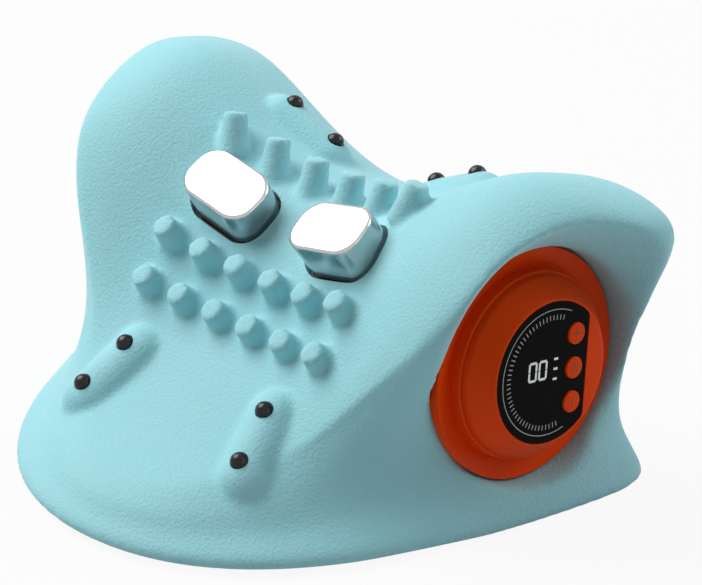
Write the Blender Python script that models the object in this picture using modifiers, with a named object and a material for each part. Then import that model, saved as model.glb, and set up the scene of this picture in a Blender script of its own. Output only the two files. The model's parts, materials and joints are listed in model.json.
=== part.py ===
"""Neck massage pillow: a moulded foam wedge with a neck cradle, two heated metal pulse pads,
rows of moulded nubs, magnetic beads, a control pod on its right side and a drive core inside."""

import math

import bmesh
import bpy
import numpy as np
from mathutils import Matrix, Vector
from mathutils.bvhtree import BVHTree

# Fits between pieces, in metres like every size here
FIT = 0.0003
RUN_FIT = 0.00015
WELD = 0.00001
OVERLAP = 0.001
CUT_PAST = 0.010

# Facets of round pieces
ROUND_SIDES = 14
POD_SIDES = 32
SMALL_SIDES = 8
CORNER_STEPS = 3
BALL_STEPS = 6
PAD_SIDES = 16
SMOOTH_ANGLE = math.radians(35)

# Foam body: the base outline is a half oval in front, cut straight at the back
FOOT_PROUD = 0.0012
BODY_HALF_LENGTH = 0.1245
BODY_FRONT_Y = -0.0940
BODY_BACK_Y = 0.0875
FRONT_OVAL_DEPTH = 0.183
FRONT_CORNER_ANGLE = math.radians(45)
FRONT_FULLNESS = 0.89
BACK_CORNER_INWARD = (-1.0, -0.15)
BACK_CORNER_EASE = 0.004
BASE_EDGE_HEIGHT = 0.005
BASE_EDGE_INSET = 0.0008
BASE_FLAT_INSET = 0.009

# Foam body: heights above its underside along the middle and along a wing's crest, by Y
TOP_PROFILE_Y = (-0.098, -0.070, -0.048, -0.029, -0.010, 0.002, 0.015, 0.028, 0.045, 0.068, 0.092)
CRADLE_HEIGHTS = (0.0114, 0.0184, 0.0264, 0.0384, 0.0524, 0.0674, 0.0844, 0.0899, 0.0909, 0.0864, 0.0787)
WING_HEIGHTS = (0.0124, 0.0124, 0.0154, 0.0355, 0.0784, 0.1024, 0.1154, 0.1249, 0.1294, 0.1219, 0.1129)
CRADLE_FORM_Y = (-0.020, -0.002, 0.040, 0.084)
CRADLE_FORM = (5.0, 3.6, 2.5, 2.7)
WING_CREST_X = 0.099
WING_ROLL = 0.026
WING_ROLL_START_X = 0.096
WING_ROLL_SPAN = 0.030
WING_ROLL_Y = (-0.030, 0.010, 0.036, 0.060, 0.090)
WING_ROLL_SHARES = (0.0, 1.0, 1.0, 0.40, 0.15)

# Foam body: flanks, by station round the outline from front middle (0) to back middle (4)
FLANK_STATIONS = (0.0, 1.0, 1.3, 1.6, 2.0, 2.5, 3.0, 3.2, 4.0)
BASE_INSETS = (0.0, 0.0045, 0.0058, 0.0056, 0.0034, 0.0014, 0.0, 0.0, 0.0)
LIP_INSETS = (0.020, 0.031, 0.023, 0.008, 0.003, 0.002, -0.012, -0.0065, 0.0)
WAIST_INSETS = (0.010, 0.0215, 0.0225, 0.021, 0.0275, 0.0295, 0.014, 0.002, 0.0015)
WAIST_SHARES = (0.60, 0.42, 0.36, 0.34, 0.36, 0.38, 0.18, 0.22, 0.34)
LIP_ROUNDING = 0.001
CAGE_CELLS = (10, 8, 7)

# Foam body: rings between base edge, waist and lip, each as a share of the inset and of the height
FLARE_RING = (0.68, 0.42)
UNDER_LIP_RING = (0.38, 0.42)
LIP_EDGE_RING = (0.85, 0.79)

# Moulded nubs: one row for each (Y, bow at the ends, lean forward, lean outward, height)
NUB_PITCH = 0.018
NUBS_PER_ROW = 6
NUB_ROWS = (
    (-0.0107, -0.0020, math.radians(40), 0.0, 0.0070),
    (0.0016, -0.0023, math.radians(36), 0.0, 0.0086),
    (0.0375, -0.0063, math.radians(-18), math.radians(12), 0.0120),
)
NUB_BASE_RADIUS = 0.0060
NUB_TOP_RADIUS = 0.0042
NUB_EDGE_RADIUS = 0.0016
NUB_ROOT = 0.004

# Moulded pads with two magnetic beads each: X and Y of the two beads, and the pad's width
PAD_BEADS = (
    ((0.0419, -0.0477), (0.0371, -0.0305)),
    ((0.0496, 0.0652), (0.0285, 0.0661)),
)
PAD_WIDTHS = (0.020, 0.018)
PAD_END_REACH = 0.012
PAD_PROUD = 0.0057
PAD_ROOT = 0.003
BEAD_RADIUS = 0.0035
BEAD_SHANK_RADIUS = 0.0018
BEAD_SHANK_LENGTH = 0.0065

# Pulse pads: metal caps that lean forward and inward
PULSE_X = 0.0294
PULSE_Y = 0.0169
PULSE_LEAN_FORWARD = math.radians(31.8)
PULSE_LEAN_INWARD = math.radians(11.7)
PULSE_LENGTH = 0.0350
PULSE_WIDTH = 0.0224
PULSE_CORNER = 0.0092
PULSE_EDGE_RADIUS = 0.0016
PULSE_PROUD = 0.0137
PULSE_SKIRT = 0.0222
PULSE_WALL = 0.0012
HEATER_THICKNESS = 0.0015
GASKET_WIDTH = 0.0008
GASKET_HEIGHT = 0.0044
CARRIER_FLANGE = 0.002
SPIGOT_RADIUS = 0.0042
SPIGOT_LENGTH = 0.0075
TOWER_WALL = 0.0025

# Drive bay, cut into the foam from below, and the core frame that lines it
BAY_HALF_LENGTH = 0.064
BAY_FRONT_Y = 0.004
BAY_BACK_Y = 0.062
BAY_TOP_Z = 0.048
BAY_CORNER = 0.006
FRAME_WALL = 0.002

# Base cover, its feet and its screws
COVER_THICKNESS = 0.003
COVER_MARGIN = 0.012
COVER_CORNER = 0.010
FOOT_RADIUS = 0.0065
FOOT_SEAT = 0.001
FOOT_INSET = 0.0095
SCREW_RADIUS = 0.0013
SCREW_HEAD_RADIUS = 0.0025
SCREW_HEAD_HEIGHT = 0.0016
SCREW_SOCKET_RADIUS = 0.0012
SCREW_SOCKET_DEPTH = 0.0008
BASE_SCREW_REACH = 0.010
BOSS_RADIUS = 0.004
BOSS_INSET = 0.007

# Vibration motors, with an eccentric weight on each shaft
MOTOR_X = 0.029
MOTOR_Y = 0.024
MOTOR_Z = 0.034
MOTOR_RADIUS = 0.008
MOTOR_LENGTH = 0.022
NOSE_RADIUS = 0.003
NOSE_LENGTH = 0.0015
SHAFT_RADIUS = 0.001
SHAFT_SEAT = 0.005
SHAFT_REACH = 0.012
WEIGHT_RADIUS = 0.0065
WEIGHT_LENGTH = 0.006
WEIGHT_GAP = 0.004
WEIGHT_HUB = 0.0026
SADDLE_WIDTH = 0.008
SADDLE_MARGIN = 0.0015
CLAMP_WIDTH = 0.007
CLAMP_THICKNESS = 0.002
CLAMP_EAR = 0.0085
CLAMP_SCREW_OFFSET = 0.013
CLAMP_SCREW_REACH = 0.0085
CLAMP_BOSS_RADIUS = 0.003

# Battery cell on saddles of the base cover
BATTERY_RADIUS = 0.0092
BATTERY_LENGTH = 0.065
BATTERY_Y = 0.0485
BATTERY_LIFT = 0.0015
TERMINAL_RADIUS = 0.003
TERMINAL_RISE = 0.0015
CRADLE_X = 0.020
CRADLE_WIDTH = 0.006
CRADLE_RISE = 0.008
CRADLE_WALL = 0.001

# Control pod on the right flank: centre of its face, the way it faces, and its roll
POD_SET_BACK = 0.0165
POD_CENTRE = (BODY_HALF_LENGTH - POD_SET_BACK, 0.040, 0.0571)
POD_YAW = math.radians(4)
POD_PITCH = math.radians(5.5)
POD_ROLL = math.radians(9)
FACE_RADIUS = 0.0270
BEZEL_RADIUS = 0.034
BEZEL_DEPTH = 0.0098
BEZEL_SHOULDER = 0.0072
BEZEL_EDGE = 0.0007
BEZEL_PLATE = 0.003
BEZEL_WALL = 0.0018
HOUSING_RADIUS = 0.0352
FLANGE_RADIUS = 0.0433
FLANGE_FRONT = 0.0122
FLANGE_DISH = 0.0033
FLANGE_THICKNESS = 0.0045
CUP_RADIUS = 0.0325
CUP_WALL = 0.0015
CUP_DEPTH = 0.034
LIP_RISE = 0.002
MOUTH_TILT = math.radians(14)
MOUTH_TILT_TOWARDS = math.radians(139)
MOUTH_SLOPE = 0.45

# Pod front: lens, buttons and display
LENS_RADIUS = 0.0262
LENS_CHORD = 0.018
LENS_CORNER = 0.003
LENS_THICKNESS = 0.0011
LENS_SINK = 0.0002
BUTTON_X = 0.0118
BUTTON_PITCH = 0.01285
BUTTON_RADIUS = 0.0041
BUTTON_PROUD = 0.0005
BUTTON_EDGE = 0.0005
BUTTON_FLANGE = 0.0007
BUTTON_FLANGE_THICKNESS = 0.001
BUTTON_TRAVEL = 0.0006
SWITCH_SIDE = 0.006
DISPLAY_X = -0.0035
DISPLAY_Y = 0.0015
DISPLAY_LENGTH = 0.018
DISPLAY_WIDTH = 0.011
BOARD_DEPTH = 0.009
BOARD_THICKNESS = 0.0016
BOARD_GAP = 0.002
POST_X = -0.008
POST_Y = 0.0195
POST_RADIUS = 0.003
POD_SCREW_RADIUS = 0.001
POD_SCREW_HEAD_RADIUS = 0.0019
POD_SCREW_REACH = 0.010
POST_SEAT = 0.004

# Charge port at the back and the leads inside
PORT_X = 0.043
PORT_Z = 0.028
PORT_BODY = (0.0125, 0.0065)
PORT_FLANGE = (0.018, 0.012)
PORT_CORNER = 0.003
PORT_FLANGE_THICKNESS = 0.002
PORT_SLOT = (0.0092, 0.0034)
PORT_SLOT_DEPTH = 0.007
PORT_TONGUE = (0.0066, 0.0008)
PORT_INSIDE = 0.005
PORT_SINK = 0.0005
LEAD_RADIUS = 0.0008
LEAD_STEPS = 2
LEAD_ROUNDING = 2
LEAD_COUNT = 6
CABLE_HOLE_Y = 0.046
CABLE_HOLE_Z = 0.038
CABLE_HOLE_RADIUS = 0.0045
CABLE_CIRCLE = 0.0026
LEAD_DROP = 0.003

# Heights and places that follow from the sizes above
BODY_Z = FOOT_PROUD
COVER_TOP = BODY_Z + COVER_THICKNESS
FRAME_TOP = BAY_TOP_Z - FIT
ROOF_UNDER = FRAME_TOP - FRAME_WALL
BAY_LENGTH = 2 * BAY_HALF_LENGTH
BAY_DEPTH = BAY_BACK_Y - BAY_FRONT_Y
BAY_MIDDLE_Y = (BAY_BACK_Y + BAY_FRONT_Y) / 2
LIP_RADIUS = BEZEL_RADIUS - BEZEL_WALL - FIT
CUP_INSIDE = CUP_RADIUS - CUP_WALL
LENS_FLOOR = LENS_SINK + LENS_THICKNESS + FIT
BOARD_BACK = BOARD_DEPTH + BOARD_THICKNESS
BATTERY_Z = COVER_TOP + BATTERY_LIFT + BATTERY_RADIUS

for old in list(bpy.data.objects):
    bpy.data.objects.remove(old, do_unlink=True)

PARTS = bpy.data.collections.new("neck_massage_pillow")
CUTTERS = bpy.data.collections.new("cutters")
bpy.context.scene.collection.children.link(PARTS)
bpy.context.scene.collection.children.link(CUTTERS)


def finish(name, colour, roughness, metallic=0.0):
    material = bpy.data.materials.new(name)
    material.use_nodes = True
    shader = material.node_tree.nodes["Principled BSDF"]
    shader.inputs["Base Color"].default_value = (*colour, 1.0)
    shader.inputs["Roughness"].default_value = roughness
    shader.inputs["Metallic"].default_value = metallic
    material.diffuse_color = (*colour, 1.0)
    return material


FOAM_SKIN = finish("foam_skin", (0.33, 0.70, 0.75), 0.6)
CHROME = finish("satin_chrome", (0.80, 0.80, 0.80), 0.2, 1.0)
BEAD_BLACK = finish("bead_black", (0.01, 0.01, 0.01), 0.1)
ORANGE_GLOSS = finish("orange_gloss", (0.80, 0.13, 0.02), 0.3)
LENS_BLACK = finish("lens_black", (0.01, 0.01, 0.01), 0.1)
DARK_RUBBER = finish("dark_rubber", (0.03, 0.04, 0.04), 0.7)
GREY_PLASTIC = finish("grey_plastic", (0.35, 0.37, 0.38), 0.5)
BLACK_PLASTIC = finish("black_plastic", (0.03, 0.03, 0.03), 0.5)
BOARD_GREEN = finish("board_green", (0.03, 0.18, 0.08), 0.5)
STEEL = finish("steel", (0.55, 0.55, 0.55), 0.3, 1.0)
BRASS = finish("brass", (0.70, 0.50, 0.20), 0.3, 1.0)
CELL_WRAP = finish("cell_wrap", (0.05, 0.20, 0.45), 0.4)
LEAD_RED = finish("lead_red", (0.60, 0.04, 0.03), 0.5)


def add_part(name, mesh, material, parent=None, matrix=None):
    part = bpy.data.objects.new(name, mesh)
    PARTS.objects.link(part)
    part.parent = parent
    part.matrix_basis = matrix or Matrix()
    if not mesh.materials:
        mesh.materials.append(material)
    return part


def add_cutter(name, mesh, parent=None, matrix=None):
    cutter = bpy.data.objects.new(name, mesh)
    CUTTERS.objects.link(cutter)
    cutter.parent = parent
    cutter.matrix_basis = matrix or Matrix()
    cutter.hide_render = True
    cutter.display_type = "WIRE"
    return cutter


def add_frame(name, matrix):
    """An empty that carries the pieces of one sub-assembly."""
    frame = bpy.data.objects.new(name, None)
    PARTS.objects.link(frame)
    frame.matrix_basis = matrix
    return frame


def combine(part, operation, *others):
    for other in others:
        step = part.modifiers.new(other.name, "BOOLEAN")
        step.operation = operation
        step.object = other
        step.solver = "EXACT"


def mesh_of(name, shape):
    mesh = bpy.data.meshes.new(name)
    bmesh.ops.recalc_face_normals(shape, faces=shape.faces)
    shape.to_mesh(mesh)
    shape.free()
    mesh.shade_smooth()
    mesh.set_sharp_from_angle(angle=SMOOTH_ANGLE)
    return mesh


def rod(shape, radius, low, high, centre=(0.0, 0.0), sides=ROUND_SIDES, top_radius=None):
    middle = Matrix.Translation((*centre, (low + high) / 2))
    return bmesh.ops.create_cone(
        shape,
        cap_ends=True,
        segments=sides,
        radius1=radius,
        radius2=radius if top_radius is None else top_radius,
        depth=high - low,
        matrix=middle,
    )["verts"]


def rod_mesh(name, radius, low, high, centre=(0.0, 0.0), sides=ROUND_SIDES):
    shape = bmesh.new()
    rod(shape, radius, low, high, centre, sides)
    return mesh_of(name, shape)


def block_mesh(name, low, high):
    low, high = Vector(low), Vector(high)
    shape = bmesh.new()
    bmesh.ops.create_cube(shape, size=1.0, matrix=Matrix.LocRotScale((low + high) / 2, None, high - low))
    return mesh_of(name, shape)


def prism(shape, outline, low, high):
    """A solid of one outline between two heights. Returns the edges round its top."""
    floor = shape.faces.new([shape.verts.new((x, y, low)) for x, y in outline])
    raised = bmesh.ops.extrude_face_region(shape, geom=[floor])["geom"]
    top = [item for item in raised if isinstance(item, bmesh.types.BMVert)]
    bmesh.ops.translate(shape, verts=top, vec=(0.0, 0.0, high - low))
    bmesh.ops.recalc_face_normals(shape, faces=shape.faces)
    raised_verts = set(top)
    return [edge for edge in shape.edges if raised_verts.issuperset(edge.verts)]


def prism_mesh(name, outline, low, high):
    shape = bmesh.new()
    prism(shape, outline, low, high)
    return mesh_of(name, shape)


def plate_mesh(name, outlines, low, high):
    """A flat plate between two heights. The outlines after the first are its holes."""
    curve = bpy.data.curves.new(name, "CURVE")
    curve.dimensions = "2D"
    curve.fill_mode = "BOTH"
    curve.extrude = (high - low) / 2
    for outline in outlines:
        spline = curve.splines.new("POLY")
        spline.points.add(len(outline) - 1)
        spline.use_cyclic_u = True
        for point, (x, y) in zip(spline.points, outline):
            point.co = (x, y, 0.0, 1.0)
    drawn = bpy.data.objects.new(name, curve)
    CUTTERS.objects.link(drawn)
    graph = bpy.context.evaluated_depsgraph_get()
    filled = bpy.data.meshes.new_from_object(drawn.evaluated_get(graph))
    bpy.data.objects.remove(drawn)
    shape = bmesh.new()
    shape.from_mesh(filled)
    bmesh.ops.remove_doubles(shape, verts=shape.verts, dist=WELD)
    bmesh.ops.translate(shape, verts=shape.verts, vec=(0.0, 0.0, (low + high) / 2))
    return mesh_of(name, shape)


def lathe_mesh(name, profile):
    """The half section of a turned piece, run down its outer side, in the XZ plane."""
    mesh = bpy.data.meshes.new(name)
    edges = [(i, i + 1) for i in range(len(profile) - 1)]
    mesh.from_pydata([(radius, 0.0, height) for radius, height in profile], edges, [])
    return mesh


def lathe(part, sides):
    turn = part.modifiers.new("lathe", "SCREW")
    turn.steps = sides
    turn.render_steps = sides
    turn.use_merge_vertices = True
    turn.merge_threshold = WELD
    turn.use_smooth_shade = True
    return part


def circle(radius, centre=(0.0, 0.0), sides=ROUND_SIDES):
    angles = [2 * math.pi * i / sides for i in range(sides)]
    return [(centre[0] + radius * math.cos(a), centre[1] + radius * math.sin(a)) for a in angles]


def arc(radius, start, end, steps, centre=(0.0, 0.0)):
    angles = [start + (end - start) * i / steps for i in range(steps + 1)]
    return [(centre[0] + radius * math.cos(a), centre[1] + radius * math.sin(a)) for a in angles]


def rounded_rectangle(length, width, corner, centre=(0.0, 0.0)):
    points = []
    for quarter, (side_x, side_y) in enumerate(((1, 1), (-1, 1), (-1, -1), (1, -1))):
        middle_x = centre[0] + side_x * (length / 2 - corner)
        middle_y = centre[1] + side_y * (width / 2 - corner)
        start = quarter * math.pi / 2
        points += arc(corner, start, start + math.pi / 2, CORNER_STEPS, (middle_x, middle_y))
    return points


def along(axis, up_hint, origin):
    """A place whose local Z runs along an axis and whose local Y leans towards the hint."""
    z = Vector(axis).normalized()
    x = Vector(up_hint).cross(z).normalized()
    y = z.cross(x)
    turn = Matrix((x, y, z)).transposed()
    return Matrix.Translation(origin) @ turn.to_4x4()


def smooth_through(stations, values, at):
    """A smooth curve through the values given at the stations."""
    stations = np.asarray(stations, float)
    values = np.asarray(values, float)
    at = float(np.clip(at, stations[0], stations[-1]))
    i = int(min(np.searchsorted(stations, at, side="right") - 1, len(stations) - 2))
    gap = np.diff(stations)
    slope = np.diff(values) / gap
    tangent = np.empty(len(values))
    tangent[0] = slope[0]
    tangent[-1] = slope[-1]
    tangent[1:-1] = (slope[:-1] * gap[1:] + slope[1:] * gap[:-1]) / (gap[1:] + gap[:-1])
    t = (at - stations[i]) / gap[i]
    start = (2 * t**3 - 3 * t**2 + 1) * values[i] + (t**3 - 2 * t**2 + t) * gap[i] * tangent[i]
    end = (3 * t**2 - 2 * t**3) * values[i + 1] + (t**3 - t**2) * gap[i] * tangent[i + 1]
    return start + end


def top_height(x, y):
    """Height of the foam's top face: low in the cradle, high on the two wings."""
    cradle = smooth_through(TOP_PROFILE_Y, CRADLE_HEIGHTS, y)
    wing = smooth_through(TOP_PROFILE_Y, WING_HEIGHTS, y)
    form = np.interp(y, CRADLE_FORM_Y, CRADLE_FORM)
    rise = math.sin(0.5 * math.pi * min(abs(x) / WING_CREST_X, 1.0)) ** form
    past = max(abs(x) - WING_ROLL_START_X, 0.0) / WING_ROLL_SPAN
    roll = WING_ROLL * np.interp(y, WING_ROLL_Y, WING_ROLL_SHARES)
    return BODY_Z + cradle + (wing - cradle) * rise - roll * past**2


def base_point(station):
    """A point of the base outline and the way inward from it, on the right half."""
    oval_y = BODY_FRONT_Y + FRONT_OVAL_DEPTH
    back_angle = math.acos((oval_y - BODY_BACK_Y) / FRONT_OVAL_DEPTH)
    angle = np.interp(station, (0, 1, 3, 4), (0, FRONT_CORNER_ANGLE, back_angle, back_angle))
    across = BODY_HALF_LENGTH * math.sin(angle) ** FRONT_FULLNESS
    point = np.array((across, oval_y - FRONT_OVAL_DEPTH * math.cos(angle)))
    inward = np.array((-math.sin(angle) / BODY_HALF_LENGTH, math.cos(angle) / FRONT_OVAL_DEPTH))
    inward /= np.linalg.norm(inward)
    if station >= 3:
        point[0] = (point[0] - BACK_CORNER_EASE) * (4 - station)
        inward = np.array(BACK_CORNER_INWARD if station == 3 else (0.0, -1.0))
    return point, inward


def flank_point(station, ring):
    """A cage point on the flank, on one of the rings from the underside to the lip."""
    point, inward = base_point(station)
    lip = smooth_through(FLANK_STATIONS, LIP_INSETS, station)
    waist = smooth_through(FLANK_STATIONS, WAIST_INSETS, station)
    share = smooth_through(FLANK_STATIONS, WAIST_SHARES, station)
    lip_z = top_height(*(point + inward * lip))
    base = smooth_through(FLANK_STATIONS, BASE_INSETS, station)
    edge = base + BASE_EDGE_INSET
    edge_z = BODY_Z + BASE_EDGE_HEIGHT
    waist_z = edge_z + (lip_z - edge_z) * share
    rings = (
        (base + BASE_FLAT_INSET, BODY_Z),
        (edge, BODY_Z),
        (edge, edge_z),
        (base + (waist - base) * FLARE_RING[0], edge_z + (waist_z - edge_z) * FLARE_RING[1]),
        (waist, waist_z),
        (waist + (lip - waist) * UNDER_LIP_RING[0], waist_z + (lip_z - waist_z) * UNDER_LIP_RING[1]),
        (
            waist + (lip - waist) * LIP_EDGE_RING[0] - LIP_ROUNDING,
            waist_z + (lip_z - waist_z) * LIP_EDGE_RING[1],
        ),
        (lip, lip_z),
    )
    inset, height = rings[ring]
    return np.array((*(point + inward * inset), height))


def rim_point(u, v, ring):
    """A cage point on the rim of the unit square, found on the right half and mirrored."""
    if v == -1:
        station = abs(u)
    elif v == 1:
        station = 4 - abs(u)
    else:
        station = 2 + v
    point = flank_point(station, ring)
    point[0] = math.copysign(point[0], u)
    return point


def cage_point(u, v, w):
    """Moves a point of the subdivided cube onto the foam's cage."""
    ring = round((w + 1) / 2 * CAGE_CELLS[2])
    if abs(u) == 1 or abs(v) == 1:
        return rim_point(u, v, ring)
    s, t = (u + 1) / 2, (v + 1) / 2
    across = (1 - t) * rim_point(u, -1, ring) + t * rim_point(u, 1, ring)
    along_y = (1 - s) * rim_point(-1, v, ring) + s * rim_point(1, v, ring)
    front = (1 - s) * rim_point(-1, -1, ring) + s * rim_point(1, -1, ring)
    back = (1 - s) * rim_point(-1, 1, ring) + s * rim_point(1, 1, ring)
    point = across + along_y - (1 - t) * front - t * back
    point[2] = top_height(point[0], point[1]) if w > 0 else BODY_Z
    return point


def foam_mesh():
    shape = bmesh.new()
    bmesh.ops.create_cube(shape, size=2.0)
    for axis, cells in enumerate(CAGE_CELLS):
        whole = [e for e in shape.edges if abs((e.verts[0].co - e.verts[1].co)[axis]) == 2.0]
        bmesh.ops.subdivide_edges(shape, edges=whole, cuts=cells - 1, use_grid_fill=True)
    for vert in shape.verts:
        u, v, w = (round(value, 6) for value in vert.co)
        vert.co = cage_point(u, v, w)
    return mesh_of("foam_body", shape)


foam = add_part("foam_body", foam_mesh(), FOAM_SKIN)
rounding = foam.modifiers.new("rounding", "SUBSURF")
rounding.levels = 1
rounding.render_levels = 1
foam.modifiers.new("facets", "TRIANGULATE")
SKIN = BVHTree.FromObject(foam, bpy.context.evaluated_depsgraph_get())


def skin_above(x, y):
    """The point and normal of the foam's top face at X and Y."""
    point, normal, _, _ = SKIN.ray_cast(Vector((x, y, BODY_HALF_LENGTH * 2)), Vector((0.0, 0.0, -1.0)))
    return point, normal


def lean(forward, outward):
    """The unit axis of a piece that leans forward (towards -Y) and outward (towards +X)."""
    upright = Vector((0.0, 0.0, 1.0))
    turn = Matrix.Rotation(outward, 4, "Y") @ Matrix.Rotation(forward, 4, "X")
    return turn @ upright


def nub_mesh(name, height):
    shape = bmesh.new()
    flare = (NUB_BASE_RADIUS - NUB_TOP_RADIUS) / height
    root_radius = NUB_BASE_RADIUS + NUB_ROOT * flare
    rod(shape, root_radius, -NUB_ROOT, height, sides=SMALL_SIDES, top_radius=NUB_TOP_RADIUS)
    rim = [e for e in shape.edges if min(v.co.z for v in e.verts) > height - WELD]
    bmesh.ops.bevel(shape, geom=rim, offset=NUB_EDGE_RADIUS, segments=1, profile=0.5, affect="EDGES")
    return mesh_of(name, shape)


def add_nubs():
    half = (NUBS_PER_ROW - 1) / 2
    for row, (row_y, bow, forward, outward, height) in enumerate(NUB_ROWS, 1):
        mesh = nub_mesh(f"nub_row_{row}", height)
        for i in range(NUBS_PER_ROW):
            share = (i - half) / half
            x = (i - half) * NUB_PITCH
            root, _ = skin_above(x, row_y + bow * share**2)
            axis = lean(forward, outward * share)
            nub = add_cutter(f"nub_{row}_{i + 1}", mesh, matrix=along(axis, (0, 1, 0), root))
            combine(foam, "UNION", nub)


def add_pads():
    """Four oval pads moulded into the foam, each with two beads."""
    pads = []
    depth = PAD_PROUD + PAD_ROOT
    spread = 1 / math.sqrt(1 - (PAD_ROOT / depth) ** 2)
    for (first, second), width in zip(PAD_BEADS, PAD_WIDTHS):
        for side in (1, -1):
            ends = [skin_above(side * x, y) for x, y in (first, second)]
            middle = (ends[0][0] + ends[1][0]) / 2
            run = ends[1][0] - ends[0][0]
            normal = (ends[0][1] + ends[1][1]).normalized()
            across = normal.cross(run).normalized()
            turn = Matrix((run.normalized(), across, run.normalized().cross(across))).transposed()
            place = Matrix.Translation(middle) @ turn.to_4x4()
            half_length = (run.length / 2 + PAD_END_REACH) * spread
            half_width = width / 2 * spread
            shape = bmesh.new()
            bmesh.ops.create_uvsphere(shape, u_segments=PAD_SIDES, v_segments=PAD_SIDES // 2, radius=1.0)
            bmesh.ops.scale(shape, verts=shape.verts, vec=(half_length, half_width, depth))
            bmesh.ops.translate(shape, verts=shape.verts, vec=(0.0, 0.0, -PAD_ROOT))
            name = f"bead_pad_{len(pads) + 1}"
            combine(foam, "UNION", add_cutter(name, mesh_of(name, shape), matrix=place))
            crown = depth * math.sqrt(1 - (run.length / 2 / half_length) ** 2) - PAD_ROOT
            offsets = (-run.length / 2, run.length / 2)
            pads.append([place @ Matrix.Translation((offset, 0.0, crown)) for offset in offsets])
    return [bead for pad in pads for bead in pad]


def add_beads(places):
    """Polished black magnet beads: a ball with a shank that is pressed into the pad."""
    angles = [math.pi * step / BALL_STEPS for step in range(1, BALL_STEPS)]
    ball = [(BEAD_RADIUS * math.sin(a), BEAD_RADIUS * math.cos(a)) for a in angles]
    shank_end = -BEAD_SHANK_LENGTH
    shank = [(BEAD_SHANK_RADIUS, ball[-1][1]), (BEAD_SHANK_RADIUS, shank_end), (0.0, shank_end)]
    profile = [(0.0, BEAD_RADIUS), *ball, *shank]
    hole = [(radius + FIT, height) for radius, height in profile[1:-1]]
    hole_radius, hole_end = hole[-1][0], shank_end - FIT
    hole = [(0.0, BEAD_RADIUS + FIT), *hole[:-1], (hole_radius, hole_end), (0.0, hole_end)]
    bead_mesh = lathe_mesh("magnet_bead", profile)
    hole_mesh = lathe_mesh("bead_hole", hole)
    for number, place in enumerate(places, 1):
        lathe(add_part(f"magnet_bead_{number}", bead_mesh, BEAD_BLACK, matrix=place), SMALL_SIDES)
        socket = lathe(add_cutter(f"bead_hole_{number}", hole_mesh, matrix=place), SMALL_SIDES)
        combine(foam, "DIFFERENCE", socket)


add_nubs()
add_beads(add_pads())


def screw_profile(radius, head_radius, reach):
    """A screw that points up from its head, with its head's top at zero."""
    head = -SCREW_HEAD_HEIGHT
    return [
        (0.0, reach),
        (radius, reach),
        (radius, 0.0),
        (head_radius, 0.0),
        (head_radius, head),
        (SCREW_SOCKET_RADIUS, head),
        (SCREW_SOCKET_RADIUS, head + SCREW_SOCKET_DEPTH),
        (0.0, head + SCREW_SOCKET_DEPTH),
    ]


def screw_bore(name, radius, low, high, centre, parent=None, matrix=None):
    return add_cutter(name, rod_mesh(name, radius + FIT, low, high, centre, SMALL_SIDES), parent, matrix)


# Pulse pad frames: local Z runs out of the foam, with zero at the cap's top face
PULSE_FRAMES = []
for side_name, side in (("right", 1), ("left", -1)):
    pulse_axis = lean(PULSE_LEAN_FORWARD, -side * PULSE_LEAN_INWARD)
    pulse_root, _ = skin_above(side * PULSE_X, PULSE_Y)
    pulse_top = pulse_root + pulse_axis * PULSE_PROUD
    pulse_place = along(pulse_axis, (0, 1, 0), pulse_top)
    PULSE_FRAMES.append((side_name, add_frame(f"pulse_{side_name}", pulse_place)))

CAP_OUTLINE = rounded_rectangle(PULSE_LENGTH, PULSE_WIDTH, PULSE_CORNER)


def pulse_outline(offset):
    return rounded_rectangle(PULSE_LENGTH + 2 * offset, PULSE_WIDTH + 2 * offset, PULSE_CORNER + offset)


FLANGE_LOW = -PULSE_SKIRT - FIT - CARRIER_FLANGE
TOWER_TOP = FLANGE_LOW - FIT
SEAT_REACH = FIT + GASKET_WIDTH


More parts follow.
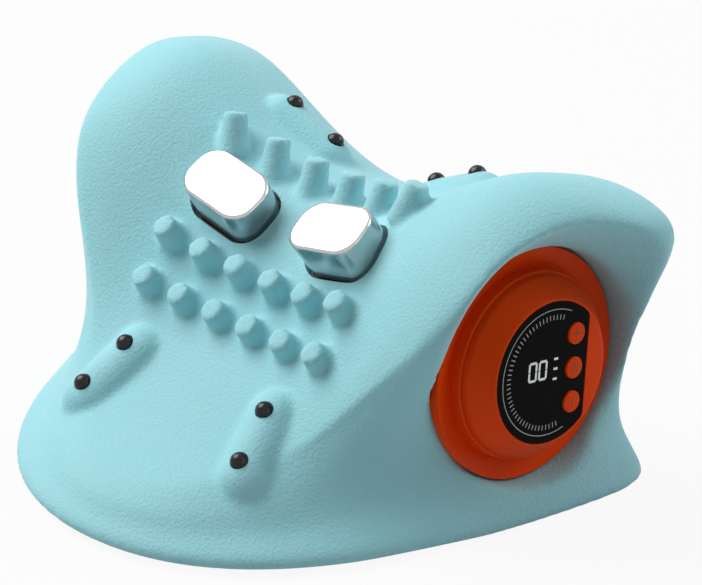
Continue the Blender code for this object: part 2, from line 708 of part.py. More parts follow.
def add_pulse_pads():
    """Each pulse pad: a metal cap over a heater plate, on a carrier, with a gasket round its foot."""
    shape = bmesh.new()
    rim = prism(shape, CAP_OUTLINE, -PULSE_SKIRT, 0.0)
    bmesh.ops.bevel(shape, geom=rim, offset=PULSE_EDGE_RADIUS, segments=2, profile=0.5, affect="EDGES")
    floor = [f for f in shape.faces if max(v.co.z for v in f.verts) < WELD - PULSE_SKIRT]
    bmesh.ops.delete(shape, geom=floor, context="FACES_ONLY")
    cap_mesh = mesh_of("pulse_cap", shape)
    inside = -PULSE_WALL - FIT
    heater_low = inside - HEATER_THICKNESS
    heater_mesh = prism_mesh("heater_plate", pulse_outline(inside - PULSE_EDGE_RADIUS), heater_low, inside)
    ring = [pulse_outline(SEAT_REACH), pulse_outline(FIT)]
    gasket_mesh = plate_mesh("pulse_gasket", ring, -PULSE_SKIRT, GASKET_HEIGHT - PULSE_SKIRT)
    plug_mesh = prism_mesh("carrier_plug", pulse_outline(inside), FLANGE_LOW + OVERLAP, heater_low - FIT)
    plug_edge = prism_mesh("carrier_flange", pulse_outline(SEAT_REACH), FLANGE_LOW, -PULSE_SKIRT - FIT)
    spigot_mesh = rod_mesh("carrier_spigot", SPIGOT_RADIUS, FLANGE_LOW - SPIGOT_LENGTH, FLANGE_LOW + OVERLAP)
    pocket_mesh = prism_mesh("pulse_pocket", pulse_outline(SEAT_REACH + FIT), TOWER_TOP, CUT_PAST)
    for name, frame in PULSE_FRAMES:
        cap = add_part(f"pulse_cap_{name}", cap_mesh, CHROME, frame)
        wall = cap.modifiers.new("wall", "SOLIDIFY")
        wall.thickness = PULSE_WALL
        wall.offset = -1.0
        wall.use_even_offset = True
        add_part(f"heater_plate_{name}", heater_mesh, GREY_PLASTIC, frame)
        add_part(f"pulse_gasket_{name}", gasket_mesh, DARK_RUBBER, frame)
        carrier = add_part(f"pulse_carrier_{name}", plug_edge, BLACK_PLASTIC, frame)
        plug = add_cutter(f"carrier_plug_{name}", plug_mesh, frame)
        spigot = add_cutter(f"carrier_spigot_{name}", spigot_mesh, frame)
        combine(carrier, "UNION", plug, spigot)
        combine(foam, "DIFFERENCE", add_cutter(f"pulse_pocket_{name}", pocket_mesh, frame))


add_pulse_pads()

# Core frame towers: tubes that carry the pulse pads, from the frame's roof
TOWER_BORE = SPIGOT_RADIUS + FIT
TOWER_RADIUS = TOWER_BORE + TOWER_WALL
BASE_SCREW_PLACES = [
    (side * (BAY_HALF_LENGTH - BOSS_INSET), y)
    for y in (BAY_FRONT_Y + BOSS_INSET, BAY_BACK_Y - BOSS_INSET)
    for side in (1, -1)
]
BASE_HEAD_TOP = BODY_Z + FIT + SCREW_HEAD_HEIGHT
CLAMP_EAR_LOW = MOTOR_Z - FIT - CLAMP_THICKNESS
CLAMP_HEAD_TOP = CLAMP_EAR_LOW - FIT
CLAMP_SCREW_PLACES = [
    (side * MOTOR_X, MOTOR_Y + offset)
    for side in (1, -1)
    for offset in (-CLAMP_SCREW_OFFSET, CLAMP_SCREW_OFFSET)
]
MOTOR_FRAMES = [
    (name, add_frame(f"motor_{name}", along((-side, 0, 0), (0, 0, 1), (side * MOTOR_X, MOTOR_Y, MOTOR_Z))))
    for name, side in (("right", 1), ("left", -1))
]


def bay_outline(offset, corner=BAY_CORNER):
    size = (BAY_LENGTH + 2 * offset, BAY_DEPTH + 2 * offset)
    return rounded_rectangle(*size, corner, (0.0, BAY_MIDDLE_Y))


def add_core_frame():
    """The moulded tub inside the foam: an open box with towers, saddles and screw bosses."""
    shape = bmesh.new()
    prism(shape, bay_outline(-FIT), COVER_TOP + FIT, FRAME_TOP)
    floor = [f for f in shape.faces if max(v.co.z for v in f.verts) < COVER_TOP + FIT + WELD]
    bmesh.ops.delete(shape, geom=floor, context="FACES_ONLY")
    frame = add_part("core_frame", mesh_of("core_frame", shape), GREY_PLASTIC)
    wall = frame.modifiers.new("wall", "SOLIDIFY")
    wall.thickness = FRAME_WALL
    wall.offset = -1.0
    wall.use_even_offset = True
    joined, cuts = [], []
    into_roof = ROOF_UNDER + OVERLAP
    for number, place in enumerate(BASE_SCREW_PLACES, 1):
        mesh = rod_mesh("base_boss", BOSS_RADIUS, COVER_TOP + FIT, into_roof, place)
        joined.append(add_cutter(f"base_boss_{number}", mesh))
        tip = BASE_HEAD_TOP + BASE_SCREW_REACH + FIT
        cuts.append(screw_bore(f"base_bore_{number}", SCREW_RADIUS, -CUT_PAST, tip, place))
    for number, place in enumerate(CLAMP_SCREW_PLACES, 1):
        mesh = rod_mesh("clamp_boss", CLAMP_BOSS_RADIUS, MOTOR_Z, into_roof, place)
        joined.append(add_cutter(f"clamp_boss_{number}", mesh))
        tip = CLAMP_HEAD_TOP + CLAMP_SCREW_REACH + FIT
        cuts.append(screw_bore(f"clamp_bore_{number}", SCREW_RADIUS, CLAMP_HEAD_TOP - CUT_PAST, tip, place))
    saddle_half = MOTOR_RADIUS + SADDLE_MARGIN
    saddle_top = into_roof - MOTOR_Z
    saddle = block_mesh(
        "motor_saddle", (-saddle_half, 0.0, -SADDLE_WIDTH / 2), (saddle_half, saddle_top, SADDLE_WIDTH / 2)
    )
    room = rod_mesh("motor_room", MOTOR_RADIUS + FIT, -MOTOR_LENGTH, MOTOR_LENGTH)
    for name, motor in MOTOR_FRAMES:
        joined.append(add_cutter(f"motor_saddle_{name}", saddle, motor))
        cuts.append(add_cutter(f"motor_room_{name}", room, motor))
    for name, pulse in PULSE_FRAMES:
        place = pulse.matrix_basis
        low = (ROOF_UNDER - OVERLAP - place.translation.z) / place.col[2].z
        joined.append(add_cutter(f"tower_{name}", rod_mesh("tower", TOWER_RADIUS, low, TOWER_TOP), pulse))
        bore = rod_mesh("tower_bore", TOWER_BORE, low - CUT_PAST, TOWER_TOP + CUT_PAST)
        cuts.append(add_cutter(f"tower_bore_{name}", bore, pulse))
        hole = rod_mesh("tower_hole", TOWER_RADIUS + FIT, low, TOWER_TOP + OVERLAP)
        combine(foam, "DIFFERENCE", add_cutter(f"tower_hole_{name}", hole, pulse))
    combine(frame, "UNION", *joined)
    combine(frame, "DIFFERENCE", *cuts)
    bay = prism_mesh("bay", bay_outline(0.0), -CUT_PAST, BAY_TOP_Z)
    combine(foam, "DIFFERENCE", add_cutter("bay", bay))
    return frame


core_frame = add_core_frame()


def add_base_cover():
    """The flat cover under the bay, with battery cradles, feet and four countersunk screws."""
    outline = bay_outline(COVER_MARGIN, COVER_CORNER)
    cover = add_part("base_cover", prism_mesh("base_cover", outline, BODY_Z, COVER_TOP), BLACK_PLASTIC)
    cradle_half = BATTERY_RADIUS + CRADLE_WALL
    for name, x in (("right", CRADLE_X), ("left", -CRADLE_X)):
        low = (x - CRADLE_WIDTH / 2, BATTERY_Y - cradle_half, COVER_TOP - OVERLAP)
        high = (x + CRADLE_WIDTH / 2, BATTERY_Y + cradle_half, COVER_TOP + CRADLE_RISE)
        combine(cover, "UNION", add_cutter(f"cradle_{name}", block_mesh("cradle", low, high)))
    lying = along((1, 0, 0), (0, 0, 1), (0.0, BATTERY_Y, BATTERY_Z))
    room = rod_mesh("battery_room", BATTERY_RADIUS + FIT, -BATTERY_LENGTH, BATTERY_LENGTH)
    combine(cover, "DIFFERENCE", add_cutter("battery_room", room, matrix=lying))
    end = BATTERY_LENGTH / 2
    profile = [
        (0.0, end),
        (TERMINAL_RADIUS, end),
        (TERMINAL_RADIUS, end - TERMINAL_RISE),
        (BATTERY_RADIUS, end - TERMINAL_RISE),
        (BATTERY_RADIUS, -end),
        (0.0, -end),
    ]
    cell_mesh = lathe_mesh("battery_cell", profile)
    lathe(add_part("battery_cell", cell_mesh, CELL_WRAP, matrix=lying), ROUND_SIDES)
    rebate = bay_outline(COVER_MARGIN + FIT, COVER_CORNER + FIT)
    rebate_mesh = prism_mesh("rebate", rebate, -CUT_PAST, COVER_TOP + FIT)
    combine(foam, "DIFFERENCE", add_cutter("rebate", rebate_mesh))
    foot_x = BAY_HALF_LENGTH + COVER_MARGIN - FOOT_INSET
    foot_front = BAY_FRONT_Y - COVER_MARGIN + FOOT_INSET
    foot_back = BAY_BACK_Y + COVER_MARGIN - FOOT_INSET
    foot_places = [(side * foot_x, y) for y in (foot_front, foot_back) for side in (1, -1)]
    for number, place in enumerate(foot_places, 1):
        foot = rod_mesh("rubber_foot", FOOT_RADIUS, 0.0, BODY_Z + FOOT_SEAT, place)
        add_part(f"rubber_foot_{number}", foot, DARK_RUBBER)
        seat = rod_mesh("foot_seat", FOOT_RADIUS + FIT, -CUT_PAST, BODY_Z + FOOT_SEAT + FIT, place)
        combine(cover, "DIFFERENCE", add_cutter(f"foot_seat_{number}", seat))
    screw = lathe_mesh("base_screw", screw_profile(SCREW_RADIUS, SCREW_HEAD_RADIUS, BASE_SCREW_REACH))
    for number, (x, y) in enumerate(BASE_SCREW_PLACES, 1):
        place = Matrix.Translation((x, y, BASE_HEAD_TOP))
        lathe(add_part(f"base_screw_{number}", screw, STEEL, matrix=place), SMALL_SIDES)
        sink = rod_mesh("head_sink", SCREW_HEAD_RADIUS + FIT, -CUT_PAST, BASE_HEAD_TOP + FIT, (x, y))
        hole = bpy.data.objects[f"base_bore_{number}"]
        combine(cover, "DIFFERENCE", add_cutter(f"head_sink_{number}", sink), hole)


add_base_cover()


def weight_outline():
    """A disc cut flat just above its hub, so that most of its mass hangs on one side."""
    flat = math.asin(WEIGHT_HUB / WEIGHT_RADIUS)
    return arc(WEIGHT_RADIUS, math.pi - flat, 2 * math.pi + flat, ROUND_SIDES)


def clamp_outline():
    """A strap bent round the lower half of a motor, with an ear on each side."""
    inner = MOTOR_RADIUS + FIT
    outer = inner + CLAMP_THICKNESS
    ear_end = inner + CLAMP_EAR
    ear_low = -FIT - CLAMP_THICKNESS
    inner_start = math.asin(FIT / inner)
    outer_start = math.asin(-ear_low / outer)
    inside = arc(inner, -inner_start, inner_start - math.pi, ROUND_SIDES)
    outside = arc(outer, outer_start - math.pi, -outer_start, ROUND_SIDES)
    return [(ear_end, -FIT), *inside, (-ear_end, -FIT), (-ear_end, ear_low), *outside, (ear_end, ear_low)]


def add_motors():
    """Two vibration motors held under the roof by straps, each with a shaft and a weight."""
    front = MOTOR_LENGTH / 2
    bore = SHAFT_RADIUS + RUN_FIT
    can_profile = [
        (0.0, front - SHAFT_SEAT - FIT),
        (bore, front - SHAFT_SEAT - FIT),
        (bore, front + NOSE_LENGTH),
        (NOSE_RADIUS, front + NOSE_LENGTH),
        (NOSE_RADIUS, front),
        (MOTOR_RADIUS, front),
        (MOTOR_RADIUS, -front),
        (0.0, -front),
    ]
    can_mesh = lathe_mesh("motor_can", can_profile)
    shaft_mesh = rod_mesh("motor_shaft", SHAFT_RADIUS, front - SHAFT_SEAT, front + SHAFT_REACH)
    weight_low = front + WEIGHT_GAP
    weight = [weight_outline(), circle(SHAFT_RADIUS + RUN_FIT)]
    weight_mesh = plate_mesh("eccentric_weight", weight, weight_low, weight_low + WEIGHT_LENGTH)
    clamp_mesh = prism_mesh("motor_clamp", clamp_outline(), -CLAMP_WIDTH / 2, CLAMP_WIDTH / 2)
    for name, frame in MOTOR_FRAMES:
        lathe(add_part(f"motor_can_{name}", can_mesh, STEEL, frame), ROUND_SIDES)
        add_part(f"motor_shaft_{name}", shaft_mesh, STEEL, frame)
        add_part(f"eccentric_weight_{name}", weight_mesh, BRASS, frame)
        clamp = add_part(f"motor_clamp_{name}", clamp_mesh, STEEL, frame)
        holes = (1, 2) if name == "right" else (3, 4)
        combine(clamp, "DIFFERENCE", *(bpy.data.objects[f"clamp_bore_{hole}"] for hole in holes))
    screw = lathe_mesh("clamp_screw", screw_profile(SCREW_RADIUS, SCREW_HEAD_RADIUS, CLAMP_SCREW_REACH))
    for number, (x, y) in enumerate(CLAMP_SCREW_PLACES, 1):
        place = Matrix.Translation((x, y, CLAMP_HEAD_TOP))
        lathe(add_part(f"clamp_screw_{number}", screw, STEEL, matrix=place), SMALL_SIDES)


add_motors()

# Control pod frame: local Z runs out of its face, local Y up its row of buttons
POD_FACING = Vector(
    (math.cos(POD_PITCH) * math.cos(POD_YAW), -math.cos(POD_PITCH) * math.sin(POD_YAW), math.sin(POD_PITCH))
)
POD_PLACE = along(POD_FACING, (0, 0, 1), POD_CENTRE) @ Matrix.Rotation(-POD_ROLL, 4, "Z")
pod = add_frame("control_pod", POD_PLACE)
BUTTON_PLACES = [("plus", BUTTON_PITCH), ("mode", 0.0), ("power", -BUTTON_PITCH)]
POST_PLACES = [(POST_X, POST_Y), (POST_X, -POST_Y)]
POST_TOP = -BOARD_BACK - FIT
POD_HEAD_TOP = POST_TOP - POST_SEAT - FIT
CABLE_WAY = along((1, 0, 0), (0, 0, 1), (BAY_HALF_LENGTH, CABLE_HOLE_Y, CABLE_HOLE_Z))
CABLE_HOLE_END = POD_CENTRE[0] - BAY_HALF_LENGTH - BOARD_BACK - CUT_PAST
cable_hole_mesh = rod_mesh("cable_hole", CABLE_HOLE_RADIUS, -CUT_PAST, CABLE_HOLE_END)
cable_hole = add_cutter("cable_hole", cable_hole_mesh, matrix=CABLE_WAY)
combine(foam, "DIFFERENCE", cable_hole)
combine(core_frame, "DIFFERENCE", cable_hole)


def lens_outline(offset=0.0):
    """A disc cut straight along the buttons' side, with its two corners rounded."""
    radius, chord, corner = LENS_RADIUS + offset, LENS_CHORD + offset, LENS_CORNER + offset
    middle_x = chord - corner
    middle_y = math.sqrt((radius - corner) ** 2 - middle_x**2)
    turn = math.atan2(middle_y, middle_x)
    upper = arc(corner, 0.0, turn, CORNER_STEPS, (middle_x, middle_y))
    round_side = arc(radius, turn, 2 * math.pi - turn, POD_SIDES)[1:-1]
    lower = arc(corner, -turn, 0.0, CORNER_STEPS, (middle_x, -middle_y))
    return upper + round_side + lower


def add_pod_shells():
    """The round housing that is set in the foam, and the bezel that closes it."""
    floor = CUP_DEPTH - CUP_WALL
    ledge = -BEZEL_DEPTH - FIT
    flange_back = -FLANGE_FRONT - FLANGE_THICKNESS
    profile = [
        (0.0, -floor),
        (CUP_INSIDE, -floor),
        (CUP_INSIDE, ledge + LIP_RISE),
        (LIP_RADIUS, ledge + LIP_RISE),
        (LIP_RADIUS, ledge),
        (HOUSING_RADIUS, ledge),
        (HOUSING_RADIUS, -FLANGE_FRONT - FLANGE_DISH),
        (FLANGE_RADIUS, -FLANGE_FRONT),
        (FLANGE_RADIUS, flange_back),
        (CUP_RADIUS, flange_back),
        (CUP_RADIUS, -CUP_DEPTH),
        (0.0, -CUP_DEPTH),
    ]
    housing = lathe(add_part("pod_housing", lathe_mesh("pod_housing", profile), ORANGE_GLOSS, pod), POD_SIDES)
    profile = [
        (0.0, 0.0),
        (FACE_RADIUS, 0.0),
        (BEZEL_RADIUS - BEZEL_EDGE, -BEZEL_SHOULDER),
        (BEZEL_RADIUS, -BEZEL_SHOULDER - BEZEL_EDGE),
        (BEZEL_RADIUS, -BEZEL_DEPTH),
        (BEZEL_RADIUS - BEZEL_WALL, -BEZEL_DEPTH),
        (BEZEL_RADIUS - BEZEL_WALL, -BEZEL_SHOULDER - BEZEL_EDGE),
        (FACE_RADIUS - BEZEL_WALL, -BEZEL_PLATE),
        (0.0, -BEZEL_PLATE),
    ]
    bezel = lathe(add_part("pod_bezel", lathe_mesh("pod_bezel", profile), ORANGE_GLOSS, pod), POD_SIDES)
    through = -BEZEL_PLATE - OVERLAP
    boss = -BOARD_DEPTH + FIT
    for number, place in enumerate(POST_PLACES, 1):
        post = rod_mesh("pod_post", POST_RADIUS, -CUP_DEPTH + CUP_WALL / 2, POST_TOP, place)
        combine(housing, "UNION", add_cutter(f"pod_post_{number}", post, pod))
        stub = rod_mesh("bezel_boss", POST_RADIUS, boss, OVERLAP - BEZEL_PLATE, place)
        combine(bezel, "UNION", add_cutter(f"bezel_boss_{number}", stub, pod))
    for number, place in enumerate(POST_PLACES, 1):
        tip = POD_HEAD_TOP + POD_SCREW_REACH + FIT
        bore = screw_bore(f"pod_bore_{number}", POD_SCREW_RADIUS, -CUP_DEPTH - CUT_PAST, tip, place, pod)
        sink_radius = POD_SCREW_HEAD_RADIUS + FIT
        sink = rod_mesh("pod_sink", sink_radius, -CUP_DEPTH - CUT_PAST, POD_HEAD_TOP + FIT, place)
        combine(housing, "DIFFERENCE", bore, add_cutter(f"pod_sink_{number}", sink, pod))
        combine(bezel, "DIFFERENCE", bore)
    combine(housing, "DIFFERENCE", cable_hole)
    recess = prism_mesh("lens_recess", lens_outline(FIT), -LENS_FLOOR, CUT_PAST)
    combine(bezel, "DIFFERENCE", add_cutter("lens_recess", recess, pod))
    for name, y in BUTTON_PLACES:
        hole = rod_mesh("button_hole", BUTTON_RADIUS + FIT, through, CUT_PAST, (BUTTON_X, y))
        combine(bezel, "DIFFERENCE", add_cutter(f"button_hole_{name}", hole, pod))
    half_x, half_y = DISPLAY_LENGTH / 2 + FIT, DISPLAY_WIDTH / 2 + FIT
    low = (DISPLAY_X - half_x, DISPLAY_Y - half_y, through)
    high = (DISPLAY_X + half_x, DISPLAY_Y + half_y, CUT_PAST)
    combine(bezel, "DIFFERENCE", add_cutter("display_window", block_mesh("display_window", low, high), pod))
    seat = FLANGE_RADIUS + FIT
    pocket = [
        (0.0, CUP_DEPTH),
        (seat, CUP_DEPTH),
        (seat, flange_back - FIT),
        (CUP_RADIUS + FIT, flange_back - FIT),
        (CUP_RADIUS + FIT, -CUP_DEPTH - FIT),
        (0.0, -CUP_DEPTH - FIT),
    ]
    pocket_cutter = lathe(add_cutter("pod_pocket", lathe_mesh("pod_pocket", pocket), pod), POD_SIDES)
    combine(foam, "DIFFERENCE", pocket_cutter)
    mouth_top = seat + MOUTH_SLOPE * CUP_DEPTH
    mouth = [(0.0, CUP_DEPTH), (mouth_top, CUP_DEPTH), (seat, 0.0), (0.0, 0.0)]
    tilt_axis = (-math.sin(MOUTH_TILT_TOWARDS), math.cos(MOUTH_TILT_TOWARDS), 0.0)
    rise = seat * math.sin(MOUTH_TILT) - FLANGE_FRONT
    place = Matrix.Translation((0.0, 0.0, rise)) @ Matrix.Rotation(MOUTH_TILT, 4, tilt_axis)
    mouth_cutter = add_cutter("pod_mouth", lathe_mesh("pod_mouth", mouth), pod, place)
    combine(foam, "DIFFERENCE", lathe(mouth_cutter, POD_SIDES))


def add_pod_front():
    """The dark lens, the display behind it, three buttons, their switches and the board."""
    holes = [circle(BUTTON_RADIUS + FIT, (BUTTON_X, y)) for _, y in BUTTON_PLACES]
    lens = plate_mesh("display_lens", [lens_outline(), *holes], -LENS_SINK - LENS_THICKNESS, -LENS_SINK)
    add_part("display_lens", lens, LENS_BLACK, pod)
    half_x, half_y = DISPLAY_LENGTH / 2, DISPLAY_WIDTH / 2
    low = (DISPLAY_X - half_x, DISPLAY_Y - half_y, FIT - BOARD_DEPTH)
    high = (DISPLAY_X + half_x, DISPLAY_Y + half_y, -LENS_FLOOR)
    add_part("led_display", block_mesh("led_display", low, high), BLACK_PLASTIC, pod)
    flange_top = -BEZEL_PLATE - FIT
    flange_low = flange_top - BUTTON_FLANGE_THICKNESS
    profile = [
        (0.0, BUTTON_PROUD),
        (BUTTON_RADIUS - BUTTON_EDGE, BUTTON_PROUD),
        (BUTTON_RADIUS, BUTTON_PROUD - BUTTON_EDGE),
        (BUTTON_RADIUS, flange_top),
        (BUTTON_RADIUS + BUTTON_FLANGE, flange_top),
        (BUTTON_RADIUS + BUTTON_FLANGE, flange_low),
        (0.0, flange_low),
    ]
    button_mesh = lathe_mesh("button", profile)
    switch_top = flange_low - BUTTON_TRAVEL - FIT
    half = SWITCH_SIDE / 2
    switch_mesh = block_mesh("tact_switch", (-half, -half, FIT - BOARD_DEPTH), (half, half, switch_top))
    for name, y in BUTTON_PLACES:
        place = Matrix.Translation((BUTTON_X, y, 0.0))
        lathe(add_part(f"button_{name}", button_mesh, ORANGE_GLOSS, pod, place), ROUND_SIDES)
        add_part(f"tact_switch_{name}", switch_mesh, BLACK_PLASTIC, pod, place)
    holes = [circle(POD_SCREW_RADIUS + FIT, place, SMALL_SIDES) for place in POST_PLACES]
    outline = circle(CUP_INSIDE - BOARD_GAP, sides=POD_SIDES)
    board_mesh = plate_mesh("main_board", [outline, *holes], -BOARD_BACK, -BOARD_DEPTH)
    add_part("main_board", board_mesh, BOARD_GREEN, pod)
    screw = lathe_mesh("pod_screw", screw_profile(POD_SCREW_RADIUS, POD_SCREW_HEAD_RADIUS, POD_SCREW_REACH))
    for number, (x, y) in enumerate(POST_PLACES, 1):
        place = Matrix.Translation((x, y, POD_HEAD_TOP))
        lathe(add_part(f"pod_screw_{number}", screw, STEEL, pod, place), SMALL_SIDES)


add_pod_shells()
add_pod_front()


def add_charge_port():
    """The charging socket at the back, let into the foam and through the core frame's wall."""
    back, _, _, _ = SKIN.ray_cast(Vector((PORT_X, BODY_HALF_LENGTH, PORT_Z)), Vector((0.0, -1.0, 0.0)))
    port_frame = add_frame("charge_port_frame", along((0, 1, 0), (0, 0, 1), back))
    face = -PORT_SINK
    flange_back = face - PORT_FLANGE_THICKNESS
    inside_end = BAY_BACK_Y - PORT_INSIDE - back.y
    slot_floor = face - PORT_SLOT_DEPTH
    flange = rounded_rectangle(*PORT_FLANGE, PORT_CORNER)
    flange_mesh = prism_mesh("charge_port", flange, flange_back, face)
    port = add_part("charge_port", flange_mesh, BLACK_PLASTIC, port_frame)
    body = rounded_rectangle(*PORT_BODY, PORT_CORNER)
    body_mesh = prism_mesh("port_body", body, inside_end, flange_back + OVERLAP)
    combine(port, "UNION", add_cutter("port_body", body_mesh, port_frame))
    slot = rounded_rectangle(*PORT_SLOT, PORT_SLOT[1] / 2 - WELD)
    slot_mesh = prism_mesh("port_slot", slot, slot_floor, CUT_PAST)
    combine(port, "DIFFERENCE", add_cutter("port_slot", slot_mesh, port_frame))
    half_x, half_y = PORT_TONGUE[0] / 2, PORT_TONGUE[1] / 2
    low = (-half_x, -half_y, slot_floor - OVERLAP)
    tongue = block_mesh("port_tongue", low, (half_x, half_y, face - OVERLAP))
    combine(port, "UNION", add_cutter("port_tongue", tongue, port_frame))
    room = rounded_rectangle(PORT_BODY[0] + 2 * FIT, PORT_BODY[1] + 2 * FIT, PORT_CORNER + FIT)
    room_mesh = prism_mesh("port_room", room, inside_end - CUT_PAST, flange_back)
    room_cutter = add_cutter("port_room", room_mesh, port_frame)
    seat = rounded_rectangle(PORT_FLANGE[0] + 2 * FIT, PORT_FLANGE[1] + 2 * FIT, PORT_CORNER + FIT)
    seat_mesh = prism_mesh("port_seat", seat, flange_back - FIT, CUT_PAST)
    combine(foam, "DIFFERENCE", room_cutter, add_cutter("port_seat", seat_mesh, port_frame))
    combine(core_frame, "DIFFERENCE", room_cutter)
    return port_frame.matrix_basis @ Vector((0.0, 0.0, inside_end - FIT))


PORT_LEAD_START = add_charge_port()


def smooth_route(points):
    """Points along a smooth curve through the route's own points."""
    points = [np.array(point) for point in points]
    lengths = [np.linalg.norm(b - a) for a, b in zip(points, points[1:])]
    chord = np.concatenate(([0.0], np.cumsum(lengths)))
    spans = zip(chord, chord[1:])
    stations = np.concatenate([np.linspace(a, b, LEAD_STEPS, endpoint=False) for a, b in spans])
    columns = np.array(points).T
    return [[smooth_through(chord, column, at) for column in columns] for at in (*stations, chord[-1])]


def add_lead(name, slot, route):
    """A thin lead from its own start, through the cable hole, to the back of the board."""
    angle = slot * 2 * math.pi / LEAD_COUNT
    y = CABLE_HOLE_Y + CABLE_CIRCLE * math.cos(angle)
    z = CABLE_HOLE_Z + CABLE_CIRCLE * math.sin(angle)
    depth = -BOARD_BACK - 2 * FIT
    end = depth - POD_FACING.y * (y - POD_CENTRE[1]) - POD_FACING.z * (z - POD_CENTRE[2])
    board_x = POD_CENTRE[0] + end / POD_FACING.x
    route = [*route, (BAY_HALF_LENGTH, y, z), ((BAY_HALF_LENGTH + board_x) / 2, y, z), (board_x, y, z)]
    curve = bpy.data.curves.new(name, "CURVE")
    curve.dimensions = "3D"
    curve.bevel_depth = LEAD_RADIUS
    curve.bevel_resolution = LEAD_ROUNDING
    curve.use_fill_caps = True
    points = smooth_route(route)
    spline = curve.splines.new("POLY")
    spline.points.add(len(points) - 1)
    for point, place in zip(spline.points, points):
        point.co = (*place, 1.0)
    lead = bpy.data.objects.new(name, curve)
    PARTS.objects.link(lead)
    curve.materials.append(LEAD_RED)


def add_leads():
    tower_starts = {}
    spigot_end = FLANGE_LOW - SPIGOT_LENGTH - FIT
    for name, pulse in PULSE_FRAMES:
        place = pulse.matrix_basis
        low = (ROOF_UNDER - OVERLAP - place.translation.z) / place.col[2].z
        depths = (spigot_end, (spigot_end + low) / 2, low)
        tower_starts[name] = [place @ Vector((0.0, 0.0, depth)) for depth in depths]
    motor_end = MOTOR_X + MOTOR_LENGTH / 2 + FIT
    battery_end = BATTERY_LENGTH / 2 + FIT
    bay_end = BAY_HALF_LENGTH
    hole_y, hole_z = CABLE_HOLE_Y, CABLE_HOLE_Z
    under_roof = ROOF_UNDER - LEAD_DROP
    pulse_right = [
        (bay_end - 0.021, hole_y - 0.0035, hole_z + 0.0032),
        (bay_end - 0.012, hole_y - 0.0016, hole_z + 0.0025),
    ]
    add_lead("pulse_lead_right", 2, [*tower_starts["right"], *pulse_right])
    pulse_left = [
        (0.030 - bay_end, hole_y - 0.0020, under_roof - 0.0012),
        (0.044 - bay_end, hole_y + 0.0008, under_roof - 0.0019),
        (0.0, hole_y + 0.0013, under_roof - 0.0022),
        (bay_end - 0.029, hole_y + 0.0013, hole_z + 0.0023),
    ]
    add_lead("pulse_lead_left", 1, [*tower_starts["left"], *pulse_left])
    motor_right = [
        (motor_end, MOTOR_Y, MOTOR_Z),
        (motor_end + 0.0047, MOTOR_Y + 0.0005, MOTOR_Z + 0.0001),
        (bay_end - 0.013, hole_y - 0.0150, hole_z - 0.0030),
        (bay_end - 0.0075, hole_y - 0.0060, hole_z - 0.0008),
    ]
    add_lead("motor_lead_right", 3, motor_right)
    motor_left = [
        (-motor_end, MOTOR_Y, MOTOR_Z),
        (-motor_end - 0.0047, MOTOR_Y + 0.0005, MOTOR_Z - 0.0002),
        (0.014 - bay_end, MOTOR_Y + 0.0090, MOTOR_Z - 0.0030),
        (0.020 - bay_end, hole_y - 0.0045, MOTOR_Z - 0.0040),
        (0.036 - bay_end, hole_y - 0.0030, MOTOR_Z - 0.0040),
        (0.0, hole_y - 0.0030, MOTOR_Z - 0.0040),
        (bay_end - 0.030, hole_y - 0.0030, MOTOR_Z - 0.0036),
        (bay_end - 0.014, hole_y - 0.0022, hole_z - 0.0050),
    ]
    add_lead("motor_lead_left", 4, motor_left)
    port_x, port_y, port_z = PORT_LEAD_START
    charge = [
        PORT_LEAD_START,
        (port_x + 0.0004, port_y - 0.0032, port_z + 0.0005),
        (bay_end - 0.0180, hole_y + 0.0045, hole_z - 0.0070),
        (bay_end - 0.0110, hole_y + 0.0028, hole_z - 0.0022),
    ]
    add_lead("charge_lead", 0, charge)
    battery = [
        (battery_end, BATTERY_Y, BATTERY_Z),
        (battery_end + 0.0042, BATTERY_Y, BATTERY_Z + 0.0007),
        (bay_end - 0.0200, hole_y + 0.0020, BATTERY_Z + 0.0051),
        (bay_end - 0.0130, hole_y + 0.0015, hole_z - 0.0095),
        (bay_end - 0.0070, hole_y + 0.0013, hole_z - 0.0042),
    ]
    add_lead("battery_lead", 5, battery)


add_leads()
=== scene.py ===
"""The neck massage pillow as photographed: a moulded foam wedge with a neck cradle, two metal pulse
pads, moulded nubs, magnetic beads and an orange control pod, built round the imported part."""

import json
import math

import bmesh
import bpy
import numpy as np
from mathutils import Matrix, Vector
from mathutils.bvhtree import BVHTree

